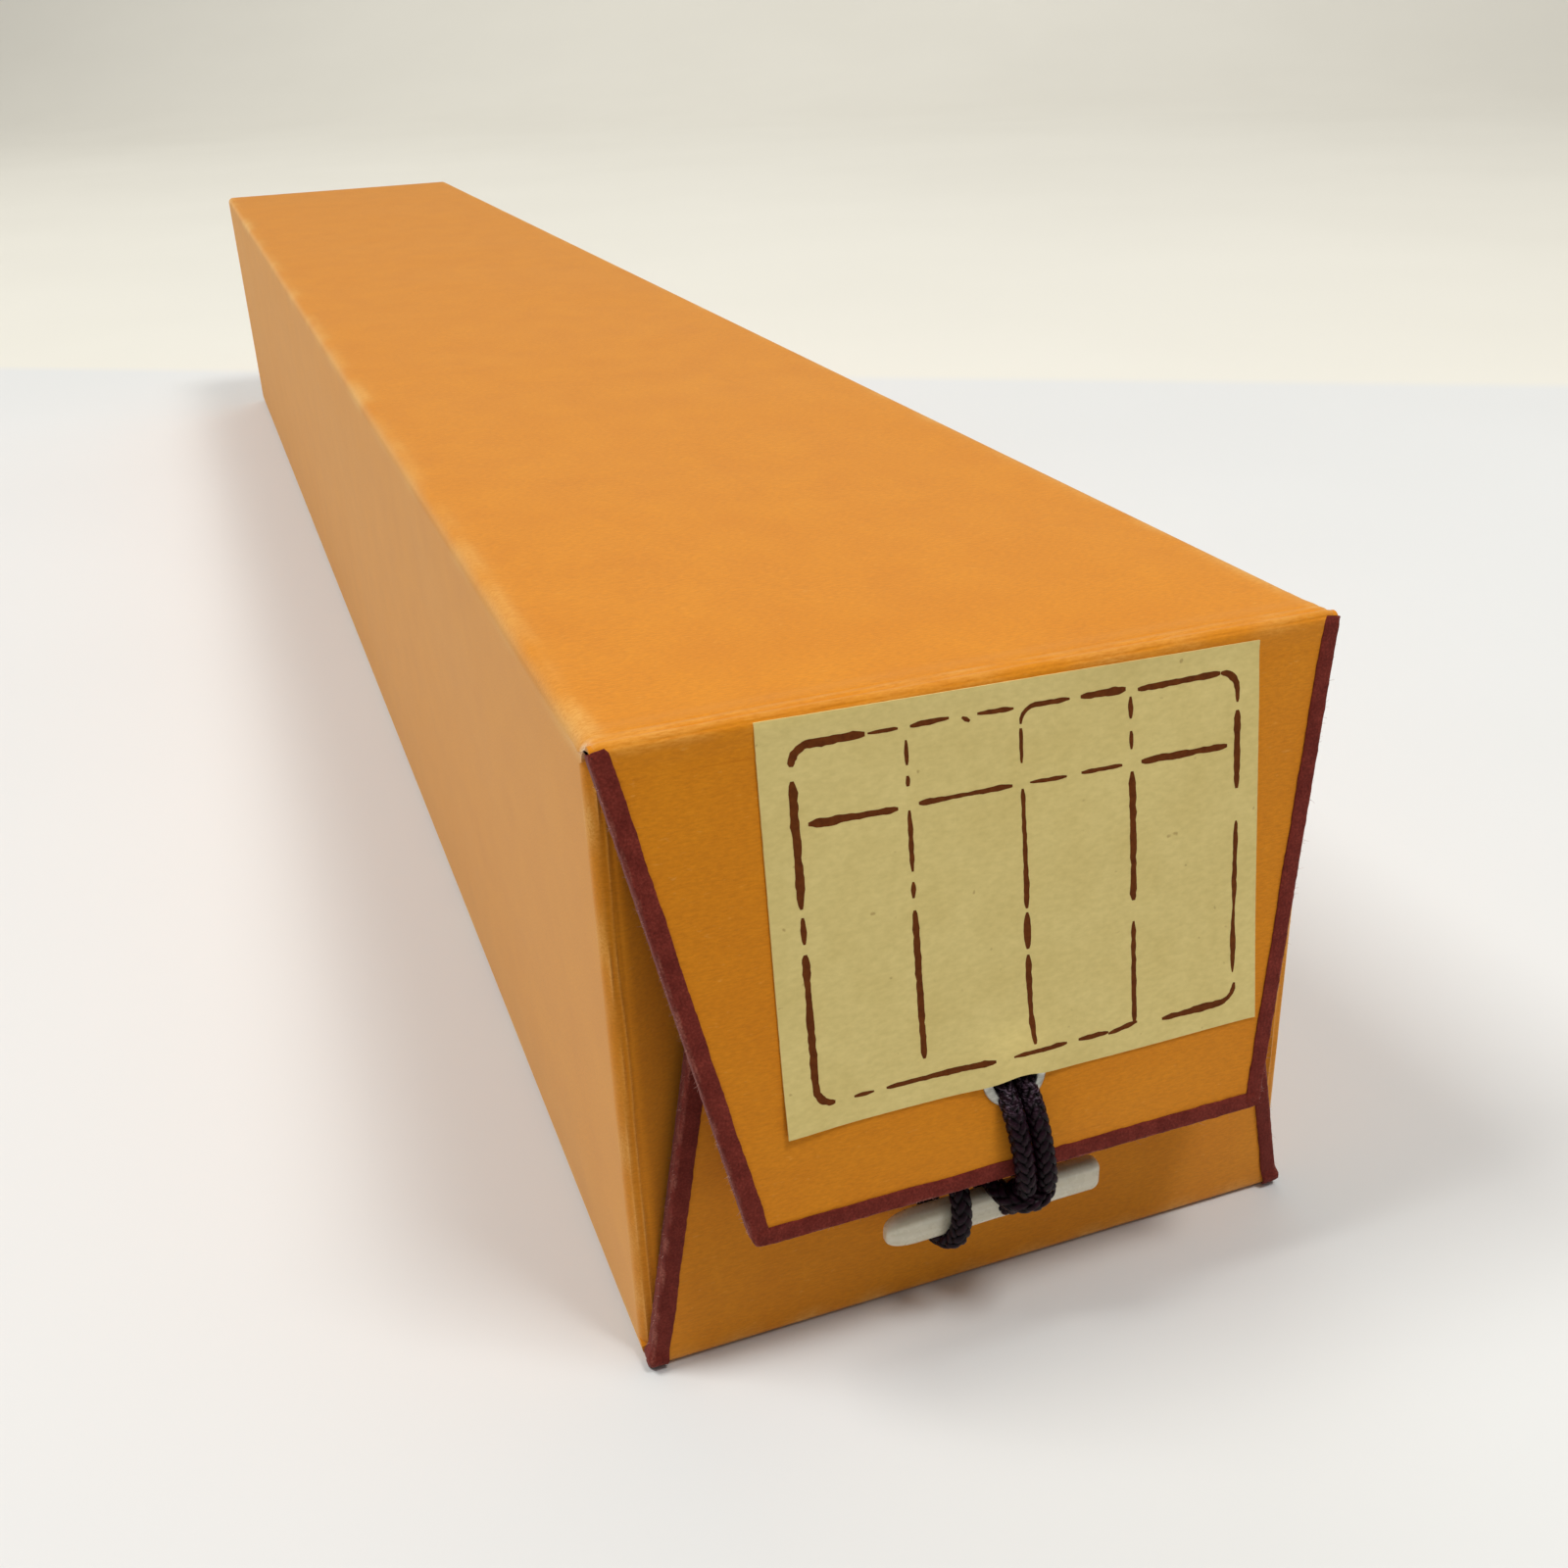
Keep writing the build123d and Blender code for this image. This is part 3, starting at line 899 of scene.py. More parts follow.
def flap_tape(name, length, taper, place, start, knob, body, nodes, seed):
    """Tape folded over a flap's two slanted edges and its end.

    place(x, distance, out) gives the point beside the flap, and distance is from its fold. The
    tape's two ends are thicker by knob."""
    rng = random.Random(seed)
    near, far = half_at(taper, start), half_at(taper, length)
    corners = [Vector((-near, start)), Vector((-far, length)), Vector((far, length)),
               Vector((near, start))]
    runs = [(b - a) for a, b in zip(corners, corners[1:])]
    normals = [Vector((run.y, -run.x)).normalized() for run in runs]
    middle = Vector((0, length / 2))
    normals = [n if n.dot(middle - corners[i]) > 0 else -n for i, n in enumerate(normals)]
    stations = []
    for i, run in enumerate(runs):
        count = max(2, round(run.length / 0.5))
        for k in range(count + 1):
            if k == count and i < len(runs) - 1:
                continue
            t = k / count
            inwards = normals[i]
            corner_gap = 99.0
            if k == 0 and i > 0:
                both = (normals[i - 1] + normals[i]).normalized()
                inwards = both / both.dot(normals[i])
                corner_gap = 0.0
            elif i > 0 and run.length * t < 1.6:
                corner_gap = run.length * t
            elif i < len(runs) - 1 and run.length * (1 - t) < 1.6:
                corner_gap = run.length * (1 - t)
            end_gap = 99.0
            if i == 0:
                end_gap = run.length * t
            if i == len(runs) - 1:
                end_gap = run.length * (1 - t)
            stations.append((corners[i] + run * t, inwards, corner_gap, end_gap))
    face, top = flap_face + 0.01, flap_face + tape_thickness
    section = [(1.0, face), (1.0, top - 0.07), (0.93, top), (0.62, top), (0.35, top), (0.12, top),
               (0.0, top - 0.02), (-1.0, face - 0.12), (-1.0, 0.4), (-1.0, 0.0), (-1.0, -0.4),
               (-1.0, -face + 0.12), (0.0, -top + 0.02), (0.12, -top), (0.5, -top), (0.93, -top),
               (1.0, -top + 0.07), (1.0, -face), (0.06, -face), (0.06, face)]
    rings, wear_and_highlight = [], []
    for i, (at, inwards, corner_gap, end_gap) in enumerate(stations):
        shiver = ripple(at.x, at.y, 0, 1.6, seed) * 0.08 + ripple(at.x, at.y, 0, 6, seed) * 0.16
        width = tape_width + shiver + rng.uniform(-0.03, 0.03)
        lump = 0.10 * bell(corner_gap, 0.9) + knob * bell(end_gap - 1.2, 0.9)
        fold_in = 0.28 * max(0.0, 1 - corner_gap / 1.3) ** 2
        end_round = max(0.0, 1 - end_gap / 0.7) ** 2
        ring = []
        for k, (inset, out) in enumerate(section):
            grain = ripple(at.x + 3 * k, at.y, out, 0.9, seed + 3) * 0.07
            reach = inset * width if inset > 0 else inset * tape_thickness
            reach += fold_in if inset <= 0 else 0
            reach -= 1.5 * (knob - plain_knob) * bell(end_gap - 1.5, 0.9) * (inset <= 0)
            reach += (0.35 * end_round * (1 if inset <= 0 else -1))
            outwards = out + math.copysign(lump + grain, out) if abs(out) > 0.1 else out
            spot = at + inwards * (reach + (grain if inset <= 0 else 0))
            ring.append(place(spot.x, spot.y, outwards * (1 - 0.12 * end_round)))
            on_edge = 1.0 if k in (6, 7, 8) else 0.0
            wear_and_highlight.append(on_edge * max(0.0, 0.1 + 0.7 * ripple(at.x, at.y, k, 2.2, seed + 7)))
        rings.append(ring)
    points, faces = tube_mesh(rings)
    return make_piece(name, points, faces, maroon_cloth, body, nodes,
                      {"wear_and_highlight": wear_and_highlight}, 50)

def fuzz(name, length, taper, place, start, body, seed, amount):
    """Loose cloth fibres that stand off the tape's outer edge, as thin three-sided hairs."""
    rng = random.Random(seed)
    points, faces = [], []
    for _ in range(amount):
        side = rng.choice((-1, 1))
        if rng.random() < 0.72:
            distance = rng.uniform(start + 1, length)
            base = Vector((side * (half_at(taper, distance) + tape_thickness * 0.8), distance))
            away = Vector((side, rng.uniform(-0.9, 0.9)))
        else:
            base = Vector((rng.uniform(-1, 1) * half_at(taper, length), length + tape_thickness * 0.8))
            away = Vector((rng.uniform(-0.9, 0.9), 1))
        out = rng.uniform(-0.5, 1.0) * flap_face
        lean_out = rng.uniform(-0.4, 0.9)
        long = rng.choice((0.35, 0.5, 0.6, 0.8)) * rng.uniform(0.6, 1.3)
        thick = rng.uniform(0.016, 0.032)
        bend = rng.uniform(-1.2, 1.2)
        away.normalize()
        rings = []
        for t in (0.0, 0.3, 0.6, 0.85, 1.0):
            curl = Vector((-away.y, away.x)) * bend * t * t * 0.5
            spot = base + (away * t * 0.7 + curl) * long
            centre = place(spot.x, spot.y, out + lean_out * long * t)
            radius = thick * (1.05 - t * 0.6)
            ring = []
            for corner in range(3):
                angle = corner * math.tau / 3
                ring.append(centre + Vector((0, math.cos(angle), math.sin(angle))) * radius)
            rings.append(ring)
        add_mesh(points, faces, tube_mesh(rings))
    return make_piece(name, points, faces, cloth_fuzz, body, (), None, 80)


def beside_lower_flap(x, distance, out):
    """A point beside the lower flap, whose face turns back at the fold."""
    above_fold = max(0.0, fold_radius - distance)
    turned_back = fold_radius - math.sqrt(max(0.0, fold_radius ** 2 - above_fold ** 2))
    return Vector((x, flap_front_y + flap_face - out + (turned_back if out > 0 else 0), distance))


# ---------------------------------------------------------------- label

def label_lift(x, drop):
    """How far the label stands off the flap: over the cord and eyelet, and at a corner."""
    over_cord = 0.95 * bell(x + 0.2, 3.6) * smooth(39.5, top_eyelet_drop, drop)
    over_flange = 0.42 * bell(x, 5.0) * smooth(40, 44, drop)
    left = label_offset - label_width / 2
    corner = 0.45 * bell(math.hypot(x - left, drop - label_drop - label_height / 2), 5)
    return over_cord + over_flange + corner


def label_point(u, v, above):
    """A point of the label, from its share u across and v down it, and its height above the paper."""
    across = (u - 0.5) * label_width
    down = (v - 0.5) * label_height - label_skew * u * v
    x = label_offset + across * math.cos(label_turn) - down * math.sin(label_turn)
    drop = label_drop + across * math.sin(label_turn) + down * math.cos(label_turn)
    drop -= bell(x - 0.2, 3.0) * smooth(0.88, 1.0, v)       # worn back over the cord
    out = bead_out(drop) + flap_wave(x, drop) + label_lift(x, drop) + 0.015
    return on_top_flap(x, drop, out + above)


def label():
    """The label's sheet, with slightly ragged edges."""
    columns, rows = 88, 72
    top, under = [], []
    for row in range(rows + 1):
        for column in range(columns + 1):
            u, v = column / columns, row / rows
            rag = 0.0006 * ripple(300 * u, 300 * v, 0, 2.0, 4.0)
            u_edge = u + rag * (abs(u - 0.5) > 0.499)
            v_edge = v + rag * (abs(v - 0.5) > 0.499)
            top.append(label_point(u_edge, v_edge, label_thickness))
            under.append(label_point(u_edge, v_edge, 0))
    return make_piece("label_sheet", top + under, slab_faces(rows + 1, columns + 1), cream_paper,
                      "top_flap", ["label"], None, 45)


def brush_line(route, width, rng):
    """A flat printed stroke along (u, v) points, pointed at its ends and uneven along its sides."""
    spots = []
    for a, b in zip(route, route[1:]):
        long = math.hypot((b[0] - a[0]) * label_width, (b[1] - a[1]) * label_height)
        count = max(1, round(long / 0.45))
        for i in range(count):
            t = i / count
            spots.append((a[0] + (b[0] - a[0]) * t, a[1] + (b[1] - a[1]) * t))
    spots.append(route[-1])
    left, right = [], []
    swell = rng.uniform(0, 100)
    for i, (u, v) in enumerate(spots):
        before, after = spots[max(0, i - 1)], spots[min(len(spots) - 1, i + 1)]
        along = Vector(((after[0] - before[0]) * label_width, (after[1] - before[1]) * label_height))
        across = Vector((-along.y, along.x)).normalized()
        from_end = min(i, len(spots) - 1 - i)
        taper = (0.42, 0.75, 0.92, 1.0)[min(3, from_end)]
        half = width / 2 * taper * (1 + 0.55 * ripple(i * 0.45, swell, 0, 4.5, 1.0))
        for line, sign in ((left, 1), (right, -1)):
            rough = 1 + 0.35 * ripple(i * 0.45, 9 * sign, swell, 0.9, 2.0)
            shift = across * half * rough * sign
            line.append((u + shift.x / label_width, v + shift.y / label_height))
    return left, right


def corner_arc(centre, size, start, end):
    """Points round a frame corner; size is its radius as shares (u, v)."""
    angles = [math.radians(degrees) for degrees in steps(start, end, 5)]
    return [(centre[0] + size[0] * math.cos(a), centre[1] + size[1] * math.sin(a)) for a in angles]


def label_print():
    """The form's printed frame, columns and header line, with bare cells."""
    rng = random.Random(11)
    left, right, top, bottom, header = 0.061, 0.952, 0.066, 0.935, 0.25
    columns = (0.276, 0.50, 0.725)
    round_u, round_v = 2.2 / label_width, 2.2 / label_height
    heavy, fine = 0.9, 0.6
    arc = {
        "top_left": corner_arc((left + round_u, top + round_v), (round_u, round_v), 180, 270),
        "top_right": corner_arc((right - round_u, top + round_v), (round_u, round_v), 270, 360),
        "bottom_right": corner_arc((right - round_u, bottom - round_v), (round_u, round_v), 0, 90),
        "bottom_left": corner_arc((left + round_u, bottom - round_v), (round_u, round_v), 90, 180),
    }
    strokes = [
        (arc["top_left"] + [(0.20, top)], heavy * 1.1),
        ([(0.205, top), (0.262, top)], fine),
        ([(0.285, top), (0.36, top - 0.004)], fine),
        ([(0.385, top), (0.40, top + 0.012)], fine),
        ([(0.415, top - 0.002), (0.487, top)], fine),
        (corner_arc((columns[1] + 0.03, top + 0.04), (0.03, 0.04), 180, 270) + [(0.60, top)], fine),
        ([(0.622, top), (0.715, top)], heavy),
        ([(0.74, top + 0.006), (0.915, top)], heavy * 0.9),
        (arc["top_right"] + [(right, 0.145)], fine * 1.1),
        ([(right, 0.165), (right, 0.365)], heavy),
        ([(right, 0.45), (right - 0.004, 0.86)], fine),
        (arc["bottom_right"] + [(0.785, bottom + 0.002)], fine * 1.2),
        ([(0.665, bottom), (0.60, bottom)], fine),
        ([(0.575, bottom), (0.455, bottom + 0.002)], fine),
        ([(0.42, bottom), (0.20, bottom)], heavy * 0.85),
        ([(0.175, bottom), (0.135, bottom)], fine),
        (arc["bottom_left"][:-1] + [(left, 0.86), (left, 0.555)], heavy * 0.9),
        ([(left, 0.53), (left, 0.465)], fine),
        ([(left, 0.445), (left, 0.145)], heavy),
        ([(0.085, header), (0.255, header + 0.004)], heavy * 0.9),
        ([(0.295, header), (0.48, header)], fine),
        ([(0.515, header), (0.59, header + 0.002)], fine),
        ([(0.62, header), (0.705, header)], fine),
        ([(0.745, header), (0.93, header)], heavy * 0.8),
        ([(columns[0], top + 0.03), (columns[0], 0.155)], fine),
        ([(columns[0], 0.18), (columns[0], 0.205)], fine),
        ([(columns[0], 0.262), (columns[0], 0.41)], heavy * 0.85),
        ([(columns[0], 0.435), (columns[0] - 0.001, 0.475)], fine),
        ([(columns[0], 0.505), (columns[0] + 0.004, 0.885)], heavy * 0.8),
        ([(columns[1], top + 0.05), (columns[1], 0.20)], fine),
        ([(columns[1], 0.262), (columns[1], 0.56)], fine),
        ([(columns[1], 0.57), (columns[1], 0.665)], heavy * 0.8),
        ([(columns[1], 0.68), (columns[1] + 0.004, 0.915)], heavy * 0.8),
        ([(columns[2], top + 0.02), (columns[2], 0.14)], fine),
        ([(columns[2], 0.17), (columns[2], 0.215)], fine),
        ([(columns[2], 0.27), (columns[2], 0.60)], heavy * 0.85),
        ([(columns[2], 0.655), (columns[2] - 0.002, 0.93)], heavy * 0.75),
        ([(columns[2] + 0.004, 0.926), (columns[2] - 0.06, 0.94)], fine * 1.1),
    ]
    points, faces = [], []
    ink = 0.012
    for route, width in strokes:
        sides = brush_line(route, width, rng)
        rings = []
        for (lu, lv), (ru, rv) in zip(*sides):
            rings.append([
                label_point(lu, lv, label_thickness + ink),
                label_point(ru, rv, label_thickness + ink),
                label_point(ru, rv, label_thickness - ink),
                label_point(lu, lv, label_thickness - ink),
            ])
        add_mesh(points, faces, tube_mesh(rings))
    return make_piece("label_print", points, faces, brown_print, "top_flap", (), None, 60)


# ---------------------------------------------------------------- eyelets and toggle

def eyelet(name, place, body, node):
    """A lathed eyelet with a rolled lip on both faces. place(x, up, out) is beside its centre."""
    hole = eyelet_hole_radius
    lip = eyelet_flange_radius
    rise = flap_face + eyelet_flange
    front = [(hole, flap_face), (hole + 0.03, rise - 0.16), (hole + 0.14, rise - 0.03),
             (hole + 0.35, rise), (lip - 0.4, rise - 0.03), (lip - 0.14, rise - 0.12),
             (lip - 0.02, rise - 0.26), (lip, flap_face + 0.03), (lip - 0.15, flap_face + 0.005)]
    section = [(hole, 0)] + front + [(hole + eyelet_wall, flap_face)]
    section += [(r, -o) for r, o in section[:0:-1]]
    segments = 72
    rings = []
    for i in range(segments):
        angle = math.tau * i / segments
        dent = 0.02 * math.sin(3 * angle) + 0.015 * math.sin(7 * angle + 1)
        rings.append([place(r * math.cos(angle), r * math.sin(angle), o * (1 + dent * (r > hole + 0.2)))
                      for r, o in section])
    points, faces = tube_mesh(rings, closed=True)
    return make_piece(name, points, faces, dull_metal, body, [node], None, 50)


def toggle():
    """A peg of soft-cornered section that tapers to a round left end and is blunt at its right."""
    taper_length, end_radius = 4.2, 1.3
    tilt = math.radians(1.0)            # its left end hangs a little lower
    left, right = toggle_low.x, toggle_high.x

    def section(x, high, deep, sink):
        """A ring round the peg at x, with its half height, its half depth and how far it sinks."""
        ring = []
        radius = min(1.25, high * 0.85, deep * 0.85)
        drop = sink + (toggle_centre.x - x) * math.tan(tilt)
        for quarter, (sy, sz) in enumerate(((1, 1), (-1, 1), (-1, -1), (1, -1))):
            for angle in steps(math.pi / 2 * quarter, math.pi / 2 * (quarter + 1), 7):
                ring.append(Vector((
                    x, toggle_centre.y + sy * (deep - radius) + radius * math.cos(angle),
                    toggle_centre.z - drop + sz * (high - radius) + radius * math.sin(angle))))
        return ring

    rings = []
    for angle in steps(0.05, math.pi / 2, 16):
        # an oval taper, fuller below than above
        full = math.sin(angle) ** 0.62
        rings.append(section(left + taper_length * (1 - math.cos(angle)), toggle_half_height * full,
                             toggle_half_thickness * full, 0.45 * (1 - full)))
    body_end = right - end_radius
    for x in steps(left + taper_length, body_end, 34)[1:]:
        thin = 0.03 * ripple(x, 0, 0, 5, 2.0)
        rings.append(section(x, toggle_half_height - thin, toggle_half_thickness - thin, 0))
    for angle in steps(0, math.pi / 2, 9)[1:]:
        inset = end_radius * (1 - math.cos(angle))
        rings.append(section(body_end + end_radius * math.sin(angle), toggle_half_height - inset,
                             toggle_half_thickness - 0.8 * inset, 0))
    points, faces = tube_mesh(rings)
    return make_piece("toggle_peg", points, faces, ivory_plastic, "toggle",
                      ["toggle"], None, 60)


# ---------------------------------------------------------------- cords

def route_line(name, route):
    """Points read from a smooth NURBS line through the route, about 0.2 mm apart."""
    curve = bpy.data.curves.new(name, "CURVE")
    curve.dimensions = "3D"
    spline = curve.splines.new("NURBS")
    spline.points.add(len(route) - 1)
    for point, place in zip(spline.points, route):
        point.co = (*(Vector(place) * MM), 1)
    spline.order_u = 3
    spline.use_endpoint_u = True
    spline.resolution_u = 24
    holder = bpy.data.objects.new(name, curve)
    scene.collection.objects.link(holder)
    bpy.context.view_layer.update()
    graph = bpy.context.evaluated_depsgraph_get()
    mesh = bpy.data.meshes.new_from_object(holder.evaluated_get(graph))
    line = [v.co / MM for v in mesh.vertices]
    bpy.data.objects.remove(holder)
    bpy.data.meshes.remove(mesh)
    return even_line(line, 0.2)


def even_line(line, gap):
    """Points along a line at even distances of about gap."""
    lengths = [0.0]
    for a, b in zip(line, line[1:]):
        lengths.append(lengths[-1] + (b - a).length)
    count = round(lengths[-1] / gap)
    even = []
    i = 0
    for k in range(count + 1):
        at = lengths[-1] * k / count
        while i < len(line) - 2 and lengths[i + 1] < at:
            i += 1
        span = max(1e-9, lengths[i + 1] - lengths[i])
        even.append(line[i].lerp(line[i + 1], (at - lengths[i]) / span))
    return even


def line_frames(line):
    """(point, side, up, ahead) along a line, turning as little as possible."""
    frames = []
    side = None
    for i, point in enumerate(line):
        ahead = (line[min(i + 1, len(line) - 1)] - line[max(i - 1, 0)]).normalized()
        if side is None:
            side = ahead.orthogonal().normalized()
        side = (side - ahead * side.dot(ahead)).normalized()
        frames.append((point, side, ahead.cross(side), ahead))
    return frames


def braid(name, line, radius, body, nodes, wear_near=None, carriers=6, pitch=8.6):
    """A round braided cord along a line: two sets of yarns that cross two over and two under.
    It is worn near the point wear_near."""
    frames = line_frames(line)
    gap = sum((b - a).length for a, b in zip(line, line[1:])) / (len(line) - 1)
    if line[-1] == line[0]:
        gap = 0.0           # yarns run straight along a line whose ends meet
    wear_reach = 2.4
    slope = math.tau * radius / pitch
    yarn_half = 0.5 * pitch / carriers * math.sin(math.atan(slope)) * 0.94
    yarn_thick = 0.25       # half of a yarn's thickness
    swing = 0.20            # of a yarn, from lying over to lying under
    points, faces, wear_and_highlight, painted_crest_light = [], [], [], []
    for hand in (1, -1):
        for k in range(carriers):
            rings = []
            for i, (centre, side, up, ahead) in enumerate(frames):
                s = i * gap
                turns = s / pitch
                spacing = carriers * turns * hand + k
                angle = math.tau * spacing / carriers
                weave = math.cos(math.pi * spacing - math.pi / 4) * hand
                weave = math.tanh(1.7 * weave) / math.tanh(1.7)
                out = radius - yarn_thick - swing + swing * weave
                radial = side * math.cos(angle) + up * math.sin(angle)
                around = (up * math.cos(angle) - side * math.sin(angle)) * hand
                along = (ahead + around * slope).normalized()
                across = radial.cross(along).normalized()
                ring = []
                for corner in range(6):
                    turn = math.tau * corner / 6
                    ring.append(centre + radial * (out + yarn_thick * math.sin(turn))
                                + across * yarn_half * math.cos(turn))
                    rub_and_highlight = 0.0
                    if wear_near:
                        rub_and_highlight = bell((centre - wear_near).length, wear_reach) * 1.1
                    wear_and_highlight.append(rub_and_highlight)
                    # painted light and shade for the material: 1 on the crest of a yarn that lies on top,
                    # 0 in the troughs, which are painted near black
                    painted_crest_light.append(max(0.0, 0.5 + 0.5 * weave) * max(0.0, math.sin(turn)) ** 0.5)
                rings.append(ring)
            add_mesh(points, faces, tube_mesh(rings))
    core = []
    for centre, side, up, ahead in frames[::2]:
        core.append([centre + (side * math.cos(math.tau * c / 10) + up * math.sin(math.tau * c / 10))
                     * radius * 0.62 for c in range(10)])
    add_mesh(points, faces, tube_mesh(core))
    for values in (wear_and_highlight, painted_crest_light):
        values += [0.0] * (len(points) - len(values))
    return make_piece(name, points, faces, purple_yarn, body, nodes,
                      {"wear_and_highlight": wear_and_highlight, "painted_crest_light": painted_crest_light}, 70)


def round_toggle():
    """Where a cord's centre line passes the toggle: half the height of its turn, its back and front,
    and the height of its underside."""
    away = cord_gap + cord_radius
    hold = toggle_half_height + away
    return hold, toggle_high.y + away, toggle_low.y - away, toggle_rise - hold


def closing_cord():
    """The doubled cord from the top eyelet to its hitch round the toggle."""
    lie = flap_face + eyelet_flange + cord_gap + cord_radius
    hold, back, front, under = round_toggle()
    knot_out = knot_depth - knot_thickness / 2

    def side(sign):
        x = hitch_offset + sign * half_pitch
        arm = hitch_offset - 0.45 + sign * (hitch_half_width - 0.75)
        spread = (x + arm) / 2
        return [
            on_top_flap(sign * half_pitch, top_eyelet_drop + 0.45, -knot_out),
            on_top_flap(sign * half_pitch, top_eyelet_drop + 0.45, lie - 0.5),
            on_top_flap(x, top_flap_length + 1.9, lie),
            (x, front, toggle_rise + hold + 0.45),
            (x, front + 0.5, toggle_rise + 0.1),
            (spread, back, under + 2.3),
            (arm, back, toggle_rise + hold + 0.85),
            (arm - 0.5 * sign, front - 2.3, toggle_rise + 3.15),
        ]

    route = side(1) + side(-1)[::-1]
    line = route_line("closing_cord_route", route)
    return braid("closing_cord_braid", line, cord_radius, "top_flap", ["closing_cord"],
                 on_top_flap(0, top_eyelet_drop + 1.2, lie))


def latch_loop():
    """The loop from the lower eyelet round the toggle."""
    hold, back, front, under = round_toggle()
    inside = flap_back_y + eyelet_flange + cord_gap + knot_thickness / 2
    x, z = lower_eyelet.x, lower_eyelet.z
    route = [
        (x, inside, z + half_pitch),
        (x + 0.3, flap_front_y - 2.3, z + half_pitch),
        (x + 0.8, front, toggle_rise + hold + 0.85),
        (x + 0.5, front + 0.2, under + 0.8),
        (x - 2.0, back, under + 0.4),
        (x - 0.2, back, z - half_pitch),
        (x, inside, z - half_pitch),
    ]
    line = route_line("latch_loop_route", route)
    piece = braid("latch_loop_braid", line, cord_radius, "case", ["latch_loop"])
    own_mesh(piece)
    return piece


def knot(name, centre_of, body, size):
    """A tight knot: a braided trefoil squashed to its place. centre_of(x, drop, out) places it."""
    line = []
    for i in range(90):
        t = math.tau * i / 89
        a = (math.sin(t) + 2 * math.sin(2 * t)) / 3
        b = (math.cos(t) - 2 * math.cos(2 * t)) / 3
        c = -math.sin(3 * t)
        line.append(centre_of(a * size[0], b * size[1], c * size[2]))
    return braid(name, even_line(line, 0.22), cord_radius * 0.82, body, (), pitch=7.2)


# ---------------------------------------------------------------- floor, lights

def make_floor():
    """Seamless paper: white, then cream beyond a slanted line behind the case, then curved up."""
    line_start = Vector((-0.150, 0.440, 0))
    line_end = Vector((0.425, 0.051, 0))
    along = (line_end - line_start).normalized()
    away = Vector((-along.y, along.x, 0))
    flat, bend, wall, reach, near = 1.5, 1.3, 1.2, 7.0, -6.0
    line_blur = 0.009
    profile = [(near, 0), (0, 0)]
    for angle in steps(0, math.pi / 2, 16):
        profile.append((flat + bend * math.sin(angle), bend * (1 - math.cos(angle))))
    profile.append((flat + bend, bend + wall))
    points = [line_start + along * side * reach + away * distance + Vector((0, 0, rise))
              for distance, rise in profile for side in (-1, 1)]
    faces = [(2 * i, 2 * i + 1, 2 * i + 3, 2 * i + 2) for i in range(len(profile) - 1)]
    mesh = bpy.data.meshes.new("floor")
    mesh.from_pydata(points, [], faces)
    for polygon in mesh.polygons:
        polygon.use_smooth = True
    floor = bpy.data.objects.new("floor", mesh)
    scene.collection.objects.link(floor)
    look = Look("floor_paper")
    dot = look.nodes.new("ShaderNodeVectorMath")
    dot.operation = "DOT_PRODUCT"
    dot.inputs[1].default_value = away
    look.links.new(look.place, dot.inputs[0])
    beyond = look.calculate("SUBTRACT", dot.outputs["Value"], float(away.dot(line_start)))
    blur = look.nodes.new("ShaderNodeMapRange")
    blur.inputs["From Min"].default_value = -line_blur
    blur.inputs["From Max"].default_value = line_blur
    blur.interpolation_type = "SMOOTHSTEP"
    look.links.new(beyond, blur.inputs["Value"])
    cloud = look.noise(4, detail=2)
    white = look.ramp(cloud, (0.3, (0.735, 0.74, 0.735)), (0.7, (0.76, 0.765, 0.76)))
    cream = look.ramp(cloud, (0.3, (0.80, 0.775, 0.70)), (0.7, (0.82, 0.795, 0.72)))
    look.link(look.mix(blur.outputs["Result"], white, cream), "Base Color")
    look.set(Roughness=0.8, Specular_IOR_Level=0.1)
    mesh.materials.append(look.material)


def make_area(name, place, aim, size, power, colour):
    """A square area light that points at aim."""
    light = bpy.data.lights.new(name, "AREA")
    light.shape = "SQUARE"
    light.size = size
    light.energy = power
    light.color = colour
    holder = bpy.data.objects.new(name, light)
    holder.location = place
    holder.rotation_euler = (Vector(aim) - Vector(place)).to_track_quat("-Z", "Y").to_euler()
    scene.collection.objects.link(holder)


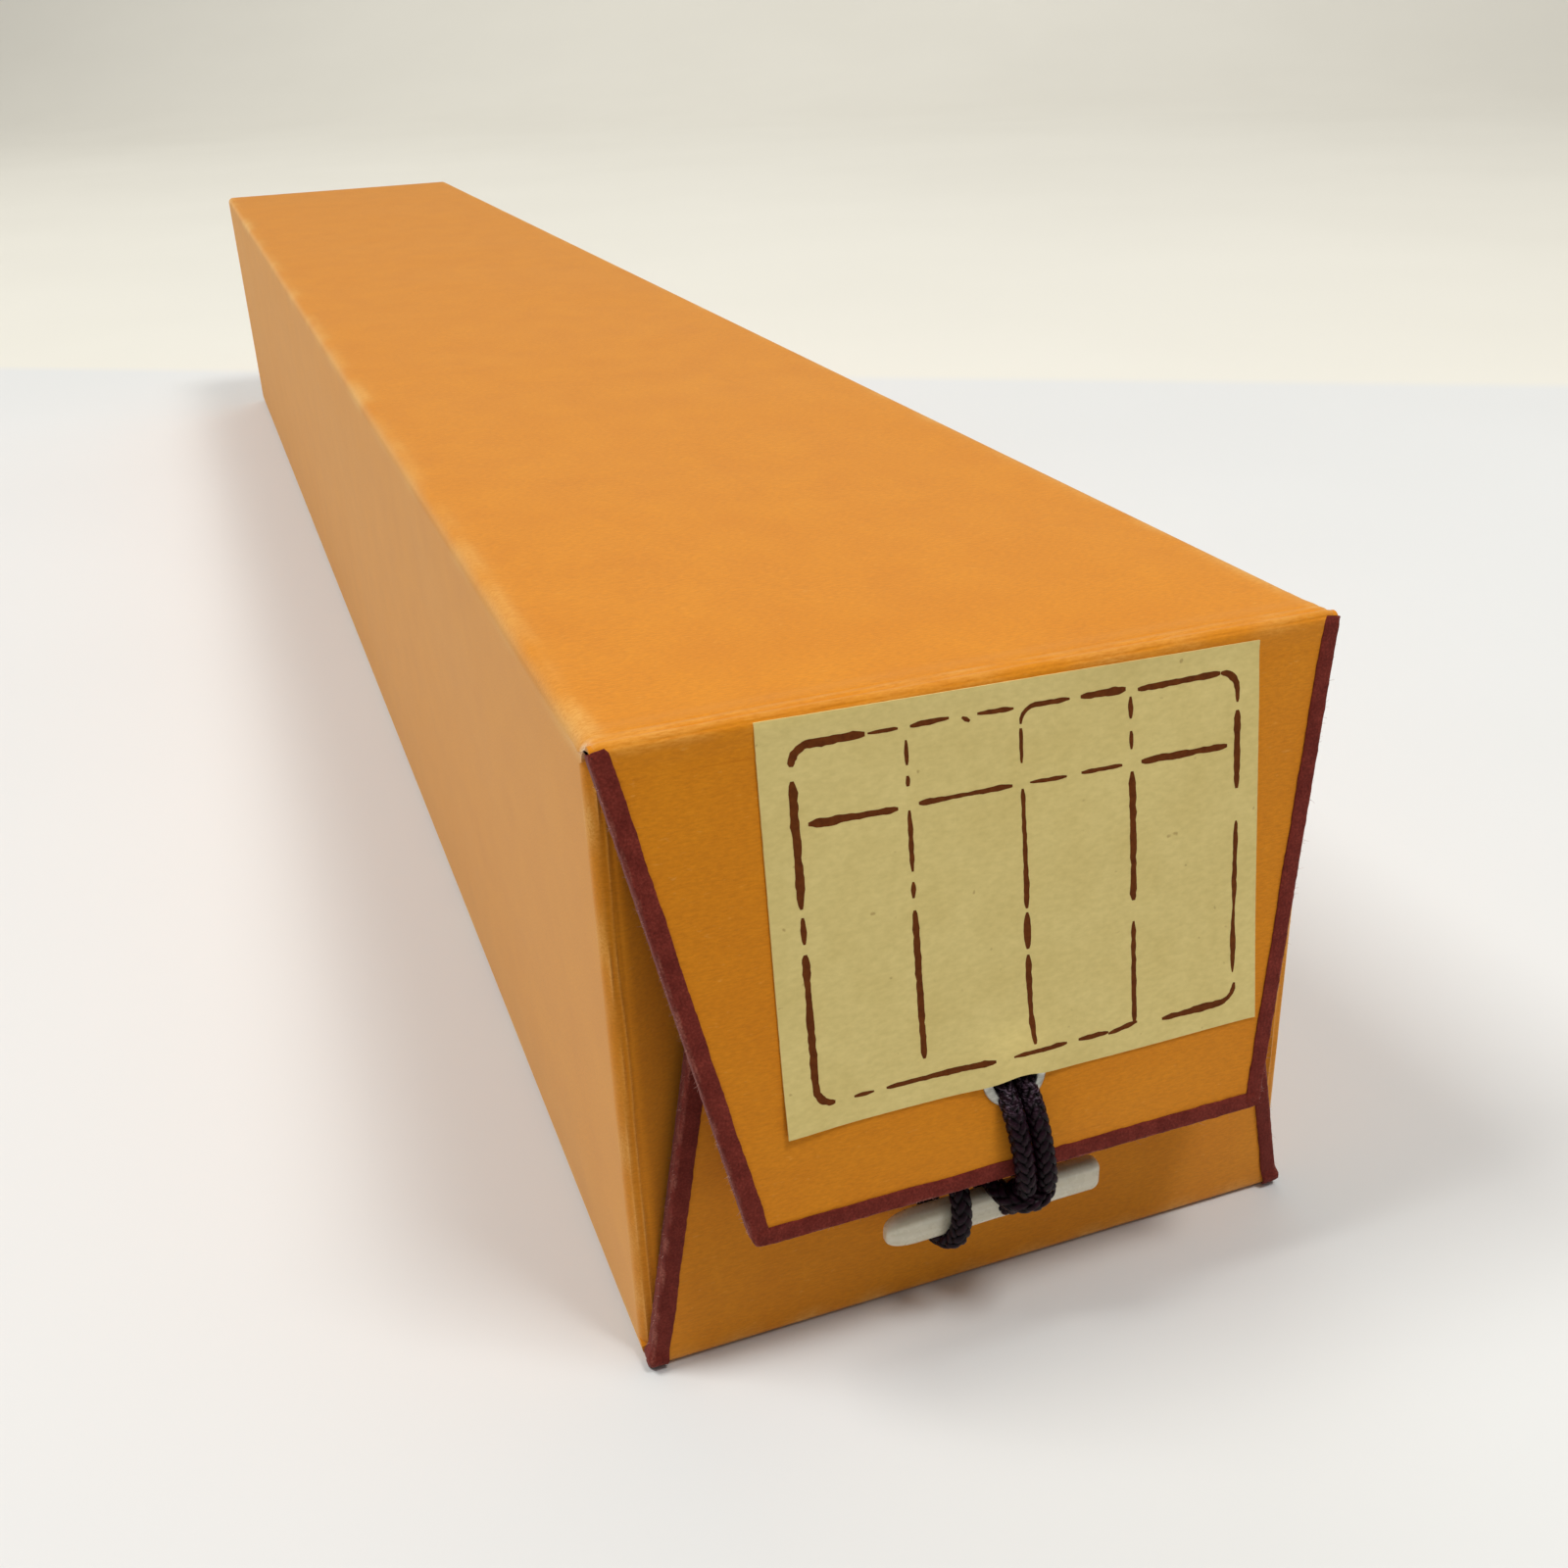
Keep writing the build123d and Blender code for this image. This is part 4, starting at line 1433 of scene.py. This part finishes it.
def make_lights():
    """A large soft key from the left, a smaller light from the front, and weak light all round."""
    world = bpy.data.worlds.new("studio")
    world.use_nodes = True
    background = world.node_tree.nodes["Background"]
    background.inputs["Color"].default_value = (1.0, 0.99, 0.975, 1)
    background.inputs["Strength"].default_value = 0.17
    scene.world = world
    middle = (0, -0.05, 0)
    make_area("key", (-1.5, 0.3, 2.6), middle, 1.1, 50, (1.0, 0.995, 0.97))
    make_area("ceiling", (0.4, -0.7, 2.7), middle, 3.0, 12, (1.0, 1.0, 0.99))
    make_area("front", (0.55, -0.95, 1.9), (0, -0.25, 0), 0.55, 18.5, (1.0, 0.995, 0.97))
    make_area("backdrop", (0.6, 1.9, 2.4), (1.1, 2.8, 0.3), 1.6, 19, (1.0, 0.99, 0.96))
    scene.view_settings.view_transform = "Standard"


# ---------------------------------------------------------------- build

make_camera()
closing_cord()
latch_loop()
knot("closing_knot", lambda a, b, c: on_top_flap(a, top_eyelet_drop + b, -knot_depth + 2.0 + c),
     "top_flap", (2.75, 2.3, 0.95))
knot("latch_knot",
     lambda a, b, c: Vector((lower_eyelet.x + a, flap_back_y + eyelet_flange + cord_gap + 2.0 + c,
                             lower_eyelet.z + b)), "case", (2.75, 2.3, 0.95))
eyelet("top_eyelet_ring", lambda x, up, out: on_top_flap(x, top_eyelet_drop - up, out), "top_flap",
       "top_eyelet")
eyelet("lower_eyelet_ring", lambda x, up, out: lower_eyelet + Vector((x, -out, up)), "case",
       "lower_eyelet")
toggle()

case_tube()
side_flap(-1)
side_flap(1)
lower_flap()
top_flap()
hinge_skin()

flap_tape("top_flap_tape", top_flap_length, top_flap_taper, on_top_flap, -0.3, plain_knob, "top_flap",
          ["top_flap_binding"], 5)
flap_tape("lower_flap_tape", lower_flap_height, lower_flap_taper, beside_lower_flap, 0.3,
          frayed_knob, "case", ["lower_flap_binding"], 6)
fuzz("top_tape_fuzz", top_flap_length, top_flap_taper, on_top_flap, 2, "top_flap", 21, 420)
fuzz("lower_tape_fuzz", lower_flap_height, lower_flap_taper, beside_lower_flap, 2, "case", 22, 260)
label()
label_print()

make_floor()
make_lights()
